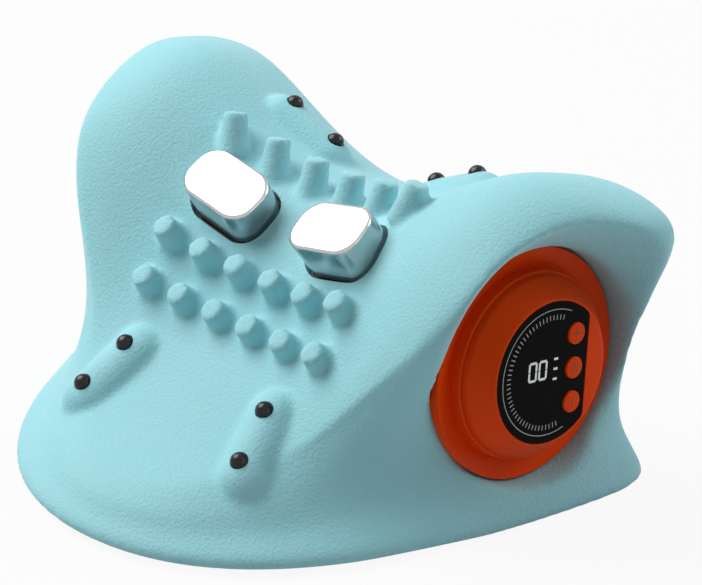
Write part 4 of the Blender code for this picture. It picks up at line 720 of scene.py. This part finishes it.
nodes, links, shader = principled(foam_skin)
grain = nodes.new("ShaderNodeGroup")
grain.node_tree = grain_group()
give(grain, {"Grains Per Metre": GRAIN_PER_METRE, "Mottle Per Metre": MOTTLE_PER_METRE})
tone = nodes.new("ShaderNodeMix")
tone.data_type = "RGBA"
give(tone, {"A": FOAM_COLOUR, "B": FOAM_DEEP_COLOUR})
bump = give(nodes.new("ShaderNodeBump"), {"Strength": 0.5, "Distance": GRAIN_DEPTH})
bump.invert = True
links.new(grain.outputs["Mottle"], tone.inputs["Factor"])
links.new(tone.outputs["Result"], shader.inputs["Base Color"])
links.new(grain.outputs["Height"], bump.inputs["Height"])
links.new(bump.outputs["Normal"], shader.inputs["Normal"])
give(shader, {"Roughness": 0.55, "Specular IOR Level": 0.15, "Sheen Weight": 0.15})
foam = add("foam", foam_mesh, foam_skin)
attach(foam, "body")
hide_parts("foam_body")

# Pulse pads
# Two deep-drawn caps of satin chrome over heater plates, pressed on carriers that stand on the core
# frame. A black rubber gasket closes the gap between each cap and the foam.
CAP_EDGE = 0.0014
CAP_DOME = 0.0003
CAP_WALL = 0.0012
CAP_STEPS = 8
CAP_TOP_SCALES = (0.85, 0.65, 0.4, 0.15)
CHROME_COLOUR = (0.50, 0.50, 0.51, 1.0)


def ring_at(outline, height, scale=1.0):
    """An outline's points at one height."""
    return [(x * scale, y * scale, height) for x, y in outline]


def cap_mesh(name, place):
    """A drawn cap, open below, from the inside of its top round its skirt to its slight dome."""
    rings = [ring_at(pulse_outline(-CAP_WALL), -CAP_WALL - CAP_DOME)]
    rings.append(ring_at(pulse_outline(-CAP_WALL), -PULSE_SKIRT))
    rings.append(ring_at(pulse_outline(0.0), -PULSE_SKIRT))
    for a in np.linspace(0.0, math.pi / 2, CAP_STEPS):
        inset = -CAP_EDGE * (1 - math.cos(a))
        rings.append(ring_at(pulse_outline(inset), CAP_EDGE * (math.sin(a) - 1) - CAP_DOME))
    top = pulse_outline(-CAP_EDGE)
    for scale in CAP_TOP_SCALES:
        rings.append(ring_at(top, -CAP_DOME * scale**2, scale))
    return lofted(name, rings, place)


def haze_group():
    """Fine noise over a surface, as it is and spread between a low and a high roughness."""
    group, given, result = start_group(
        "surface_haze", ("Specks Per Metre", "Detail", "Low", "High"), ("Noise", "Roughness")
    )
    nodes, links = group.nodes, group.links
    place = nodes.new("ShaderNodeTexCoord")
    noise = nodes.new("ShaderNodeTexNoise")
    spread = nodes.new("ShaderNodeMapRange")
    links.new(place.outputs["Object"], noise.inputs["Vector"])
    links.new(given.outputs["Specks Per Metre"], noise.inputs["Scale"])
    links.new(given.outputs["Detail"], noise.inputs["Detail"])
    links.new(noise.outputs["Fac"], spread.inputs["Value"])
    links.new(given.outputs["Low"], spread.inputs["To Min"])
    links.new(given.outputs["High"], spread.inputs["To Max"])
    links.new(noise.outputs["Fac"], result.inputs["Noise"])
    links.new(spread.outputs["Result"], result.inputs["Roughness"])
    return group


SURFACE_HAZE = haze_group()


def hazed(name, colour, per_metre, low, high, detail=2.0):
    """A material of one colour whose roughness varies finely. Returns it, its shader and its haze."""
    material = bpy.data.materials.new(name)
    nodes, links, shader = principled(material)
    haze = nodes.new("ShaderNodeGroup")
    haze.node_tree = SURFACE_HAZE
    give(haze, {"Specks Per Metre": per_metre, "Detail": detail, "Low": low, "High": high})
    links.new(haze.outputs["Roughness"], shader.inputs["Roughness"])
    give(shader, {"Base Color": colour})
    return material, shader, haze


satin_chrome, shader, _ = hazed(
    "satin_chrome", CHROME_COLOUR, per_metre=400.0, low=0.15, high=0.20, detail=4.0
)
give(shader, {"Metallic": 1.0})
for name, pulse in zip(("right", "left"), PULSES):
    cap = add(f"pulse_pad_{name}", cap_mesh(f"pulse_pad_{name}", pulse), satin_chrome)
    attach(cap, "body")
    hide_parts(f"pulse_cap_{name}")


ROUGHNESS_SPREAD = 0.08


def speckled(name, colour, roughness, grain=3000.0, depth=0.00005, metallic=0.0):
    """A moulded or drawn finish: one colour with a fine procedural texture in its surface."""
    low, high = roughness - ROUGHNESS_SPREAD, roughness + ROUGHNESS_SPREAD
    material, shader, haze = hazed(name, (*colour, 1.0), grain, low, high)
    give(shader, {"Metallic": metallic})
    nodes, links = material.node_tree.nodes, material.node_tree.links
    bump = give(nodes.new("ShaderNodeBump"), {"Strength": 0.4, "Distance": depth})
    links.new(haze.outputs["Noise"], bump.inputs["Height"])
    links.new(bump.outputs["Normal"], shader.inputs["Normal"])
    return material


def paint(material, *names):
    """Gives CAD nodes that stay in view their procedural finish."""
    for name in names:
        for held in frame["nodes"][name].material_slots:
            held.material = material


dark_rubber = speckled("dark_rubber", (0.018, 0.020, 0.021), 0.62)
grey_plastic = speckled("grey_plastic", (0.30, 0.31, 0.32), 0.50)
black_plastic = speckled("black_plastic", (0.022, 0.023, 0.024), 0.48)
paint(dark_rubber, "pulse_gasket_left", "pulse_gasket_right")
paint(grey_plastic, "heater_plate_left", "heater_plate_right")
paint(black_plastic, "pulse_carrier_left", "pulse_carrier_right")

# Magnetic beads
# Eight polished black balls with shanks, two pressed into each moulded pad. The lower part of each
# ball and its shank fill a hole in the foam.
BEAD_NECK = math.radians(149)
BEAD_STEPS = 20
BEAD_COLOUR = (0.006, 0.006, 0.007, 1.0)
bead_black, shader, _ = hazed("bead_black", BEAD_COLOUR, per_metre=700.0, low=0.05, high=0.12)
give(shader, {"Specular IOR Level": 0.30})
bead_arc = np.linspace(0.0, BEAD_NECK, BEAD_STEPS)
bead_profile = [(BEAD_RADIUS * math.sin(a), BEAD_RADIUS * math.cos(a)) for a in bead_arc]
bead_profile += [(BEAD_SHANK_RADIUS, -BEAD_SHANK_LENGTH), (0.0, -BEAD_SHANK_LENGTH)]
copy_tree, copy_sockets = start_tree(
    "copies_of_a_blank", (("Blank", "NodeSocketObject"), ("Material", "NodeSocketMaterial"))
)
copy_in = copy_tree.nodes.new("NodeGroupInput")
copy_blank = copy_tree.nodes.new("GeometryNodeObjectInfo")
copy_tree.links.new(copy_in.outputs["Blank"], copy_blank.inputs["Object"])
copies_of(copy_tree, copy_blank.outputs["Geometry"], copy_in)


def copies(name, blank_mesh, places, material, scales=None):
    """One piece that holds a copy of the blank at every place."""
    blank = add("blank", blank_mesh, material)
    points = points_mesh(name, places, scales or [(1.0, 1.0, 1.0)] * len(places))
    mesh = run_tree(name, copy_tree, copy_sockets, points, {"Blank": blank, "Material": material})
    bpy.data.objects.remove(blank)
    return add(name, mesh)


beads = copies("magnet_beads", turned("bead", bead_profile, sides=48), BEAD_PLACES, bead_black)
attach(beads, "body")
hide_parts(*(f"magnet_bead_{number}" for number in range(1, 9)))

# Control pod shells
# A round housing of glossy orange plastic set in the foam, with a flange that seats in the pocket.
# The bezel closes it from outside and is held by two screws from within.
FACE_RADIUS = 0.0270
BEZEL_RADIUS = 0.034
BEZEL_DEPTH = 0.0098
BEZEL_SHOULDER = 0.0072
BEZEL_EDGE = 0.0007
BEZEL_PLATE = 0.003
BEZEL_WALL = 0.0018
HOUSING_RADIUS = 0.0352
FLANGE_DISH = 0.0033
FLANGE_EDGE = 0.0006
CUP_WALL = 0.0015
LIP_RISE = 0.002
ORANGE_COLOUR = (0.76, 0.060, 0.003, 1.0)
ORANGE_SPECULAR = 0.06
orange_gloss, shader, _ = hazed("orange_gloss", ORANGE_COLOUR, per_metre=500.0, low=0.30, high=0.38)
give(shader, {"Specular IOR Level": ORANGE_SPECULAR})
ledge = -BEZEL_DEPTH - FIT
cup_inside = CUP_RADIUS - CUP_WALL
lip_radius = BEZEL_RADIUS - BEZEL_WALL - FIT


def softened(profile, cut, steps=5):
    """The profile with each corner between its ends rounded, starting this far from the corner."""
    points = [Vector(point) for point in profile]
    soft = [points[0]]
    for before, corner, after in zip(points, points[1:], points[2:]):
        start = corner + (before - corner).normalized() * min(cut, (before - corner).length / 2)
        end = corner + (after - corner).normalized() * min(cut, (after - corner).length / 2)
        for t in np.linspace(0.0, 1.0, steps):
            soft.append(start * (1 - t) ** 2 + corner * (2 * t * (1 - t)) + end * t**2)
    return [tuple(point) for point in (*soft, points[-1])]


housing_profile = [
    (0.0, CUP_WALL - CUP_DEPTH),
    (cup_inside, CUP_WALL - CUP_DEPTH),
    (cup_inside, ledge + LIP_RISE),
    (lip_radius, ledge + LIP_RISE),
    *softened(
        [
            (lip_radius, ledge),
            (HOUSING_RADIUS, ledge),
            (HOUSING_RADIUS, -FLANGE_FRONT - FLANGE_DISH),
            (FLANGE_RADIUS, -FLANGE_FRONT),
            (FLANGE_RADIUS, FLANGE_BACK),
        ],
        FLANGE_EDGE,
    ),
    (CUP_RADIUS, FLANGE_BACK),
    (CUP_RADIUS, -CUP_DEPTH),
    (0.0, -CUP_DEPTH),
]
housing = add("pod_shell", turned("pod_shell", housing_profile, POD_SIDES, POD), orange_gloss)
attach(housing, "body")
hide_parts("pod_housing")

# The bezel, with a recess for the lens and holes for the display and the buttons
LENS_RADIUS = 0.0262
LENS_CHORD = 0.018
LENS_CORNER = 0.003
LENS_THICKNESS = 0.0011
LENS_SINK = 0.0002
LENS_CORNER_STEPS = 8
LENS_ROUND_STEPS = 96
BUTTON_X = 0.0118
BUTTON_PITCH = 0.01285
BUTTON_RADIUS = 0.0041
DISPLAY = (-0.0035, 0.0015, 0.018, 0.011)
BUTTON_ROWS = (("plus", BUTTON_PITCH), ("mode", 0.0), ("power", -BUTTON_PITCH))
BUTTONS = {name: POD @ Matrix.Translation((BUTTON_X, y, 0.0)) for name, y in BUTTON_ROWS}
CUT_SHARP_ANGLE = math.radians(30)
bezel_outside = [
    (0.0, 0.0),
    (FACE_RADIUS, 0.0),
    (BEZEL_RADIUS - BEZEL_EDGE / 2, -BEZEL_SHOULDER - BEZEL_EDGE / 2),
    (BEZEL_RADIUS, -BEZEL_DEPTH),
]
bezel_inside = [
    (BEZEL_RADIUS - BEZEL_WALL, -BEZEL_DEPTH),
    (BEZEL_RADIUS - BEZEL_WALL, -BEZEL_SHOULDER - BEZEL_EDGE),
    (FACE_RADIUS - BEZEL_WALL, -BEZEL_PLATE),
    (0.0, -BEZEL_PLATE),
]
bezel_profile = [*softened(bezel_outside, BEZEL_EDGE), *bezel_inside]


def lens_outline(offset):
    """A disc cut straight along the buttons' side, with its two corners rounded."""
    radius, chord, corner = LENS_RADIUS + offset, LENS_CHORD + offset, LENS_CORNER + offset
    middle_x = chord - corner
    middle_y = math.sqrt((radius - corner) ** 2 - middle_x**2)
    turn = math.atan2(middle_y, middle_x)
    upper = [(middle_x, middle_y, corner, a) for a in np.linspace(0.0, turn, LENS_CORNER_STEPS)]
    long_way = np.linspace(turn, 2 * math.pi - turn, LENS_ROUND_STEPS)[1:-1]
    disc = [(0.0, 0.0, radius, a) for a in long_way]
    lower = [(middle_x, -middle_y, corner, a) for a in np.linspace(-turn, 0.0, LENS_CORNER_STEPS)]
    return [(x + r * math.cos(a), y + r * math.sin(a)) for x, y, r, a in (*upper, *disc, *lower)]


lens_floor = -LENS_SINK - LENS_THICKNESS - FIT
through = -BEZEL_PLATE - FIT
window = rounded_rectangle(DISPLAY[2] + 2 * FIT, DISPLAY[3] + 2 * FIT, FIT)
window_place = POD @ Matrix.Translation((DISPLAY[0], DISPLAY[1], 0.0))
bezel_cuts = [
    slab("lens_recess", lens_outline(FIT), lens_floor, CUT_PAST, POD),
    slab("display_window", window, through, CUT_PAST, window_place),
]
for button_place in BUTTONS.values():
    bezel_cuts.append(rod("button_hole", BUTTON_RADIUS + FIT, through, CUT_PAST, button_place))
bezel_blank = add("pod_rim", turned("pod_rim", bezel_profile, POD_SIDES, POD))
bezel = add("pod_rim", carved("pod_rim", bezel_blank, bezel_cuts, CUT_SHARP_ANGLE), orange_gloss)
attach(bezel, "body")
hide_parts("pod_bezel")

# Display lens
# A flat smoked lens glued into the bezel, with a printed line round it. Behind it a display shows
# two white digits and three dashes.
LENS_COLOUR = (0.0012, 0.0020, 0.0014, 1.0)
lens_black, shader, _ = hazed("lens_black", LENS_COLOUR, per_metre=300.0, low=0.20, high=0.28)
give(shader, {"Specular IOR Level": 0.03})
lens_cuts = [
    rod("lens_hole", BUTTON_RADIUS + FIT, -CUT_PAST, CUT_PAST, button_place)
    for button_place in BUTTONS.values()
]
lens_solid = slab("lens", lens_outline(0.0), -LENS_SINK - LENS_THICKNESS, -LENS_SINK, POD)
lens_blank = add("lens", lens_solid)
lens = add("lens", carved("lens", lens_blank, lens_cuts, CUT_SHARP_ANGLE), lens_black)
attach(lens, "body")
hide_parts("display_lens")

# What is printed on the lens, and the lit segments that shine through it. Both are drawn as thin faces
# just above the lens.
PRINT_LIFT = 0.00003
ARC_RADIUS = 0.0234
ARC_WIDTH = 0.00035
ARC_ENDS = (math.radians(68), math.radians(292))
ARC_STEPS = 120
TICK_RADIUS = 0.0205
TICK_SIZE = (0.0021, 0.0004)
TICKS = 44
TICK_ENDS = (math.radians(76), math.radians(284))
DIGIT_PLACES = ((-0.0088, 0.0015), (-0.0038, 0.0015))
DIGIT_SIZE = (0.0034, 0.0066)
SEGMENT_WIDTH = 0.0009
SEGMENT_SHARE = 0.92
DASHES = ((0.0026, 0.0048), (0.0026, 0.0011), (0.0026, -0.0027))
DASH_LENGTH = 0.002
PRINT_COLOUR = (0.30, 0.31, 0.31, 1.0)
PRINT_PALE_COLOUR = (0.40, 0.41, 0.41, 1.0)
print_grey = bpy.data.materials.new("print_grey")
nodes, links, shader = principled(print_grey)
place = nodes.new("ShaderNodeTexCoord")
wear = give(nodes.new("ShaderNodeTexNoise"), {"Scale": 900.0})
tone = nodes.new("ShaderNodeMix")
tone.data_type = "RGBA"
give(tone, {"A": PRINT_COLOUR, "B": PRINT_PALE_COLOUR})
links.new(place.outputs["Object"], wear.inputs["Vector"])
links.new(wear.outputs["Fac"], tone.inputs["Factor"])
links.new(tone.outputs["Result"], shader.inputs["Base Color"])
give(shader, {"Roughness": 0.5})
arc_shape = bmesh.new()
arc_angles = np.linspace(*ARC_ENDS, ARC_STEPS)
arc_rows = [
    [
        arc_shape.verts.new((radius * math.cos(a), radius * math.sin(a), PRINT_LIFT - LENS_SINK))
        for radius in (ARC_RADIUS - ARC_WIDTH / 2, ARC_RADIUS + ARC_WIDTH / 2)
    ]
    for a in arc_angles
]
for near, far in zip(arc_rows, arc_rows[1:]):
    arc_shape.faces.new((near[0], near[1], far[1], far[0]))
arc_mesh = mesh_of("lens_line", arc_shape)
arc_mesh.transform(POD)
line = add("lens_line", arc_mesh, print_grey)
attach(line, "body")


def bar(name, length, width):
    """A flat bar with pointed ends, as display segments have."""
    half, edge = length / 2, width / 2
    inner = half - edge
    outline = ((half, 0), (inner, edge), (-inner, edge), (-half, 0), (-inner, -edge), (inner, -edge))
    shape = bmesh.new()
    shape.faces.new([shape.verts.new((x, y, 0.0)) for x, y in outline])
    return mesh_of(name, shape)


def on_lens(x, y, angle):
    """A place just above the lens, turned about the pod's axis."""
    return POD @ Matrix.Translation((x, y, PRINT_LIFT - LENS_SINK)) @ Matrix.Rotation(angle, 4, "Z")


tick_angles = np.linspace(*TICK_ENDS, TICKS)
tick_places = [on_lens(TICK_RADIUS * math.cos(a), TICK_RADIUS * math.sin(a), a) for a in tick_angles]
ticks = copies("lens_ticks", bar("tick", *TICK_SIZE), tick_places, print_grey)
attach(ticks, "body")
digit_white = bpy.data.materials.new("digit_white")
nodes, links, shader = principled(digit_white)
place = nodes.new("ShaderNodeTexCoord")
flicker = give(nodes.new("ShaderNodeTexNoise"), {"Scale": 600.0})
glow = give(nodes.new("ShaderNodeMapRange"), {"To Min": 0.42, "To Max": 0.56})
links.new(place.outputs["Object"], flicker.inputs["Vector"])
links.new(flicker.outputs["Fac"], glow.inputs["Value"])
links.new(glow.outputs["Result"], shader.inputs["Emission Strength"])
give(shader, {"Base Color": (0.05, 0.05, 0.05, 1.0), "Emission Color": (0.86, 0.91, 0.93, 1.0)})
half_x, half_y = DIGIT_SIZE[0] / 2, DIGIT_SIZE[1] / 2
segments = [(0, half_y, 0, 2 * half_x), (0, -half_y, 0, 2 * half_x)]
segments += [(x, y, math.pi / 2, half_y) for x in (-half_x, half_x) for y in (-half_y / 2, half_y / 2)]
lit_places, lit_scales = [], []
for digit_x, digit_y in DIGIT_PLACES:
    for x, y, angle, length in segments:
        lit_places.append(on_lens(digit_x + x, digit_y + y, angle))
        lit_scales.append((length * SEGMENT_SHARE, 1.0, 1.0))
for x, y in DASHES:
    lit_places.append(on_lens(x, y, 0.0))
    lit_scales.append((DASH_LENGTH, 1.0, 1.0))
unit_bar = bar("segment", 1.0, SEGMENT_WIDTH)
digits = copies("display_digits", unit_bar, lit_places, digit_white, lit_scales)
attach(digits, "body")
paint(black_plastic, "led_display", "tact_switch_plus", "tact_switch_mode", "tact_switch_power")

# Buttons
# Three round orange keys that stand just proud of the lens, each over its own switch. Their marks are
# a plus, three bars and one bar.
BUTTON_PROUD = 0.0005
BUTTON_EDGE = 0.0005
BUTTON_FLANGE = 0.0007
BUTTON_FLANGE_THICKNESS = 0.001
MARK_LIFT = 0.00004
MARK_CORNERS = ((-1, -1), (1, -1), (1, 1), (-1, 1))
EDGE_STEPS = 6
button_orange = speckled("button_orange", ORANGE_COLOUR[:3], 0.40, 900.0, 0.00003)
_, _, shader = principled(button_orange)
give(shader, {"Specular IOR Level": ORANGE_SPECULAR})
mark_dark = speckled("mark_dark", (0.18, 0.022, 0.006), 0.5)
key_top = -BEZEL_PLATE - FIT
rim = [
    (BUTTON_RADIUS - BUTTON_EDGE * (1 - math.sin(a)), BUTTON_PROUD - BUTTON_EDGE * (1 - math.cos(a)))
    for a in np.linspace(0.0, math.pi / 2, EDGE_STEPS)
]
button_profile = [
    (0.0, BUTTON_PROUD),
    *rim,
    (BUTTON_RADIUS, key_top),
    (BUTTON_RADIUS + BUTTON_FLANGE, key_top),
    (BUTTON_RADIUS + BUTTON_FLANGE, key_top - BUTTON_FLANGE_THICKNESS),
    (0.0, key_top - BUTTON_FLANGE_THICKNESS),
]
MARKS = {
    "plus": ((0.0, 0.0, 0.0042, 0.0005), (0.0, 0.0, 0.0005, 0.0042)),
    "mode": ((-0.0013, 0.0, 0.0005, 0.0036), (0.0, 0.0, 0.0005, 0.0044), (0.0013, 0.0, 0.0005, 0.0036)),
    "power": ((0.0, 0.0, 0.0006, 0.0040),),
}
mark_z = BUTTON_PROUD + MARK_LIFT
for name, button_place in BUTTONS.items():
    key_shape = bmesh.new()
    key_shape.from_mesh(turned(f"key_{name}", button_profile, sides=64, place=button_place))
    for x, mark_y, length, width in MARKS[name]:
        points = [(x + sx * length / 2, mark_y + sy * width / 2, mark_z) for sx, sy in MARK_CORNERS]
        face = key_shape.faces.new([key_shape.verts.new(button_place @ Vector(point)) for point in points])
        face.material_index = 1
    key_mesh = smooth_mesh(f"key_{name}", key_shape)
    key = add(f"key_{name}", key_mesh)
    key_mesh.materials.append(button_orange)
    key_mesh.materials.append(mark_dark)
    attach(key, f"{name}_button")
    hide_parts(f"button_{name}")

# Base cover, feet and screws
# A flat moulded cover closes the drive bay from below. It stands on four rubber feet and is held by
# four steel screws, whose socket heads are sunk into it.
FOOT_RADIUS = 0.0065
FOOT_TOP = 0.0022
FOOT_EDGE = 0.0008
FOOT_X = 0.0665
FOOT_ROWS = (0.0015, 0.0645)


def in_rows(x, rows, z):
    """Places to the right and left at each row's Y."""
    return [Matrix.Translation((side * x, y, z)) for y in rows for side in (1, -1)]


foot_rim = [
    (FOOT_RADIUS - FOOT_EDGE * (1 - math.cos(a)), FOOT_EDGE * (1 - math.sin(a)))
    for a in np.linspace(0.0, math.pi / 2, EDGE_STEPS)
]
foot_profile = [(0.0, FOOT_TOP), (FOOT_RADIUS, FOOT_TOP), *foot_rim, (0.0, 0.0)]
foot_places = in_rows(FOOT_X, FOOT_ROWS, 0.0)
feet = copies("rubber_feet", turned("foot", foot_profile, sides=48), foot_places, dark_rubber)
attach(feet, "body")
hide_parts(*(f"rubber_foot_{number}" for number in range(1, 5)))
steel = speckled("steel", (0.55, 0.55, 0.56), 0.30, 1500.0, 0.00002, 1.0)
SCREW_RADIUS = 0.0013
SCREW_REACH = 0.010
HEAD_RADIUS = 0.0025
HEAD_HEIGHT = 0.0016
HEAD_TOP = 0.0031
SOCKET_RADIUS = 0.0012
SOCKET_DEPTH = 0.0008
HEAD_EDGE = 0.0003
TIP_SHARE = 0.4
SCREW_X = 0.057
SCREW_ROWS = (0.011, 0.055)
screw_profile = [
    (0.0, SCREW_REACH),
    (SCREW_RADIUS * TIP_SHARE, SCREW_REACH),
    (SCREW_RADIUS, SCREW_REACH - SCREW_RADIUS),
    (SCREW_RADIUS, 0.0),
    (HEAD_RADIUS, 0.0),
    (HEAD_RADIUS, HEAD_EDGE - HEAD_HEIGHT),
    (HEAD_RADIUS - HEAD_EDGE, -HEAD_HEIGHT),
    (SOCKET_RADIUS, -HEAD_HEIGHT),
    (SOCKET_RADIUS, SOCKET_DEPTH - HEAD_HEIGHT),
    (0.0, SOCKET_DEPTH - HEAD_HEIGHT),
]
screw_places = in_rows(SCREW_X, SCREW_ROWS, HEAD_TOP)
screws = copies("base_screws", turned("screw", screw_profile, sides=32), screw_places, steel)
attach(screws, "body")
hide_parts(*(f"base_screw_{number}" for number in range(1, 5)))
paint(black_plastic, "base_cover", "charge_port")

# Drive core
# The moulded core frame lines the bay and carries two vibration motors under clamps, a battery cell,
# the board in the pod and the leads between them. They keep their CAD form.
brass = speckled("brass", (0.62, 0.44, 0.18), 0.32, 1500.0, 0.00002, 1.0)
cell_wrap = speckled("cell_wrap", (0.04, 0.16, 0.40), 0.40)
board_green = speckled("board_green", (0.02, 0.14, 0.06), 0.45)
lead_red = speckled("lead_red", (0.50, 0.03, 0.02), 0.45)
paint(grey_plastic, "core_frame")
paint(cell_wrap, "battery_cell")
paint(board_green, "main_board")
paint(steel, "pod_screw_1", "pod_screw_2", *(f"clamp_screw_{number}" for number in range(1, 5)))
for name in ("left", "right"):
    paint(steel, f"motor_can_{name}", f"motor_shaft_{name}", f"motor_clamp_{name}")
    paint(brass, f"eccentric_weight_{name}")
    paint(lead_red, f"pulse_lead_{name}", f"motor_lead_{name}")
paint(lead_red, "charge_lead", "battery_lead")

# Floor, light and camera
# A plain white floor, one large soft lamp from the upper left, two weaker ones from the right, and
# the camera at the photograph's angle.
FLOOR_SIZE = 8.0
FLOOR_GLOW = 0.92
FLOOR_COLOUR = (0.65, 0.65, 0.65, 1.0)
floor_shape = bmesh.new()
bmesh.ops.create_grid(floor_shape, x_segments=1, y_segments=1, size=FLOOR_SIZE / 2)


def seen_plainly(nodes, links):
    """1 for rays seen straight, reflected or refracted, 0 for the light that the scene gives."""
    path = nodes.new("ShaderNodeLightPath")
    seen = path.outputs["Is Camera Ray"]
    for label in ("Is Glossy Ray", "Is Transmission Ray"):
        either = nodes.new("ShaderNodeMath")
        either.operation = "MAXIMUM"
        links.new(seen, either.inputs[0])
        links.new(path.outputs[label], either.inputs[1])
        seen = either.outputs["Value"]
    return seen


floor_white = bpy.data.materials.new("floor_white")
nodes, links, shader = principled(floor_white)
give(shader, {"Base Color": FLOOR_COLOUR, "Roughness": 0.9, "Specular IOR Level": 0.0})
white = nodes.new("ShaderNodeEmission")
share = nodes.new("ShaderNodeMath")
share.operation = "MULTIPLY"
share.inputs[1].default_value = FLOOR_GLOW
paper = nodes.new("ShaderNodeMixShader")
links.new(seen_plainly(nodes, links), share.inputs[0])
links.new(share.outputs["Value"], paper.inputs["Fac"])
links.new(shader.outputs["BSDF"], paper.inputs[1])
links.new(white.outputs["Emission"], paper.inputs[2])
links.new(paper.outputs["Shader"], nodes["Material Output"].inputs["Surface"])
floor = add("floor", mesh_of("floor", floor_shape), floor_white)
floor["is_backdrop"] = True


LAMP_TARGET = Vector((0.0, 0.0, 0.05))


def lamp(name, place, size, power):
    """A square soft lamp that faces the pillow."""
    light = bpy.data.lights.new(name, "AREA")
    light.size = size
    light.energy = power
    held = bpy.data.objects.new(name, light)
    scene.collection.objects.link(held)
    held.location = place
    held.rotation_euler = (LAMP_TARGET - Vector(place)).to_track_quat("-Z", "Y").to_euler()


SKY_LEVEL = 0.15
lamp("key_lamp", (-0.92, -0.30, 1.28), size=1.3, power=30.0)
lamp("side_lamp", (0.80, 1.20, 0.90), size=0.9, power=9.0)
lamp("face_lamp", (1.40, 0.10, 0.50), size=0.9, power=1.5)
world = bpy.data.worlds.new("studio")
scene.world = world
world.use_nodes = True
nodes, links = world.node_tree.nodes, world.node_tree.links
sky = give(nodes["Background"], {"Color": (1.0, 1.0, 1.0, 1.0)})
level = give(nodes.new("ShaderNodeMapRange"), {"To Min": SKY_LEVEL, "To Max": 1.0})
links.new(seen_plainly(nodes, links), level.inputs["Value"])
links.new(level.outputs["Result"], sky.inputs["Strength"])
CAMERA_PLACE = (0.69466, -0.65977, 0.54088)
CAMERA_FORWARD = Vector((-0.62701, 0.63967, -0.44462))
SENSOR_WIDTH = 36.0
CAMERA_LENS = 148.7
camera_data = bpy.data.cameras.new("camera")
camera_data.sensor_width = SENSOR_WIDTH
camera_data.lens = CAMERA_LENS
camera = bpy.data.objects.new("camera", camera_data)
scene.collection.objects.link(camera)
camera.location = CAMERA_PLACE
camera.rotation_euler = CAMERA_FORWARD.to_track_quat("-Z", "Y").to_euler()
scene.camera = camera
scene.view_settings.view_transform = "Standard"

low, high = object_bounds()
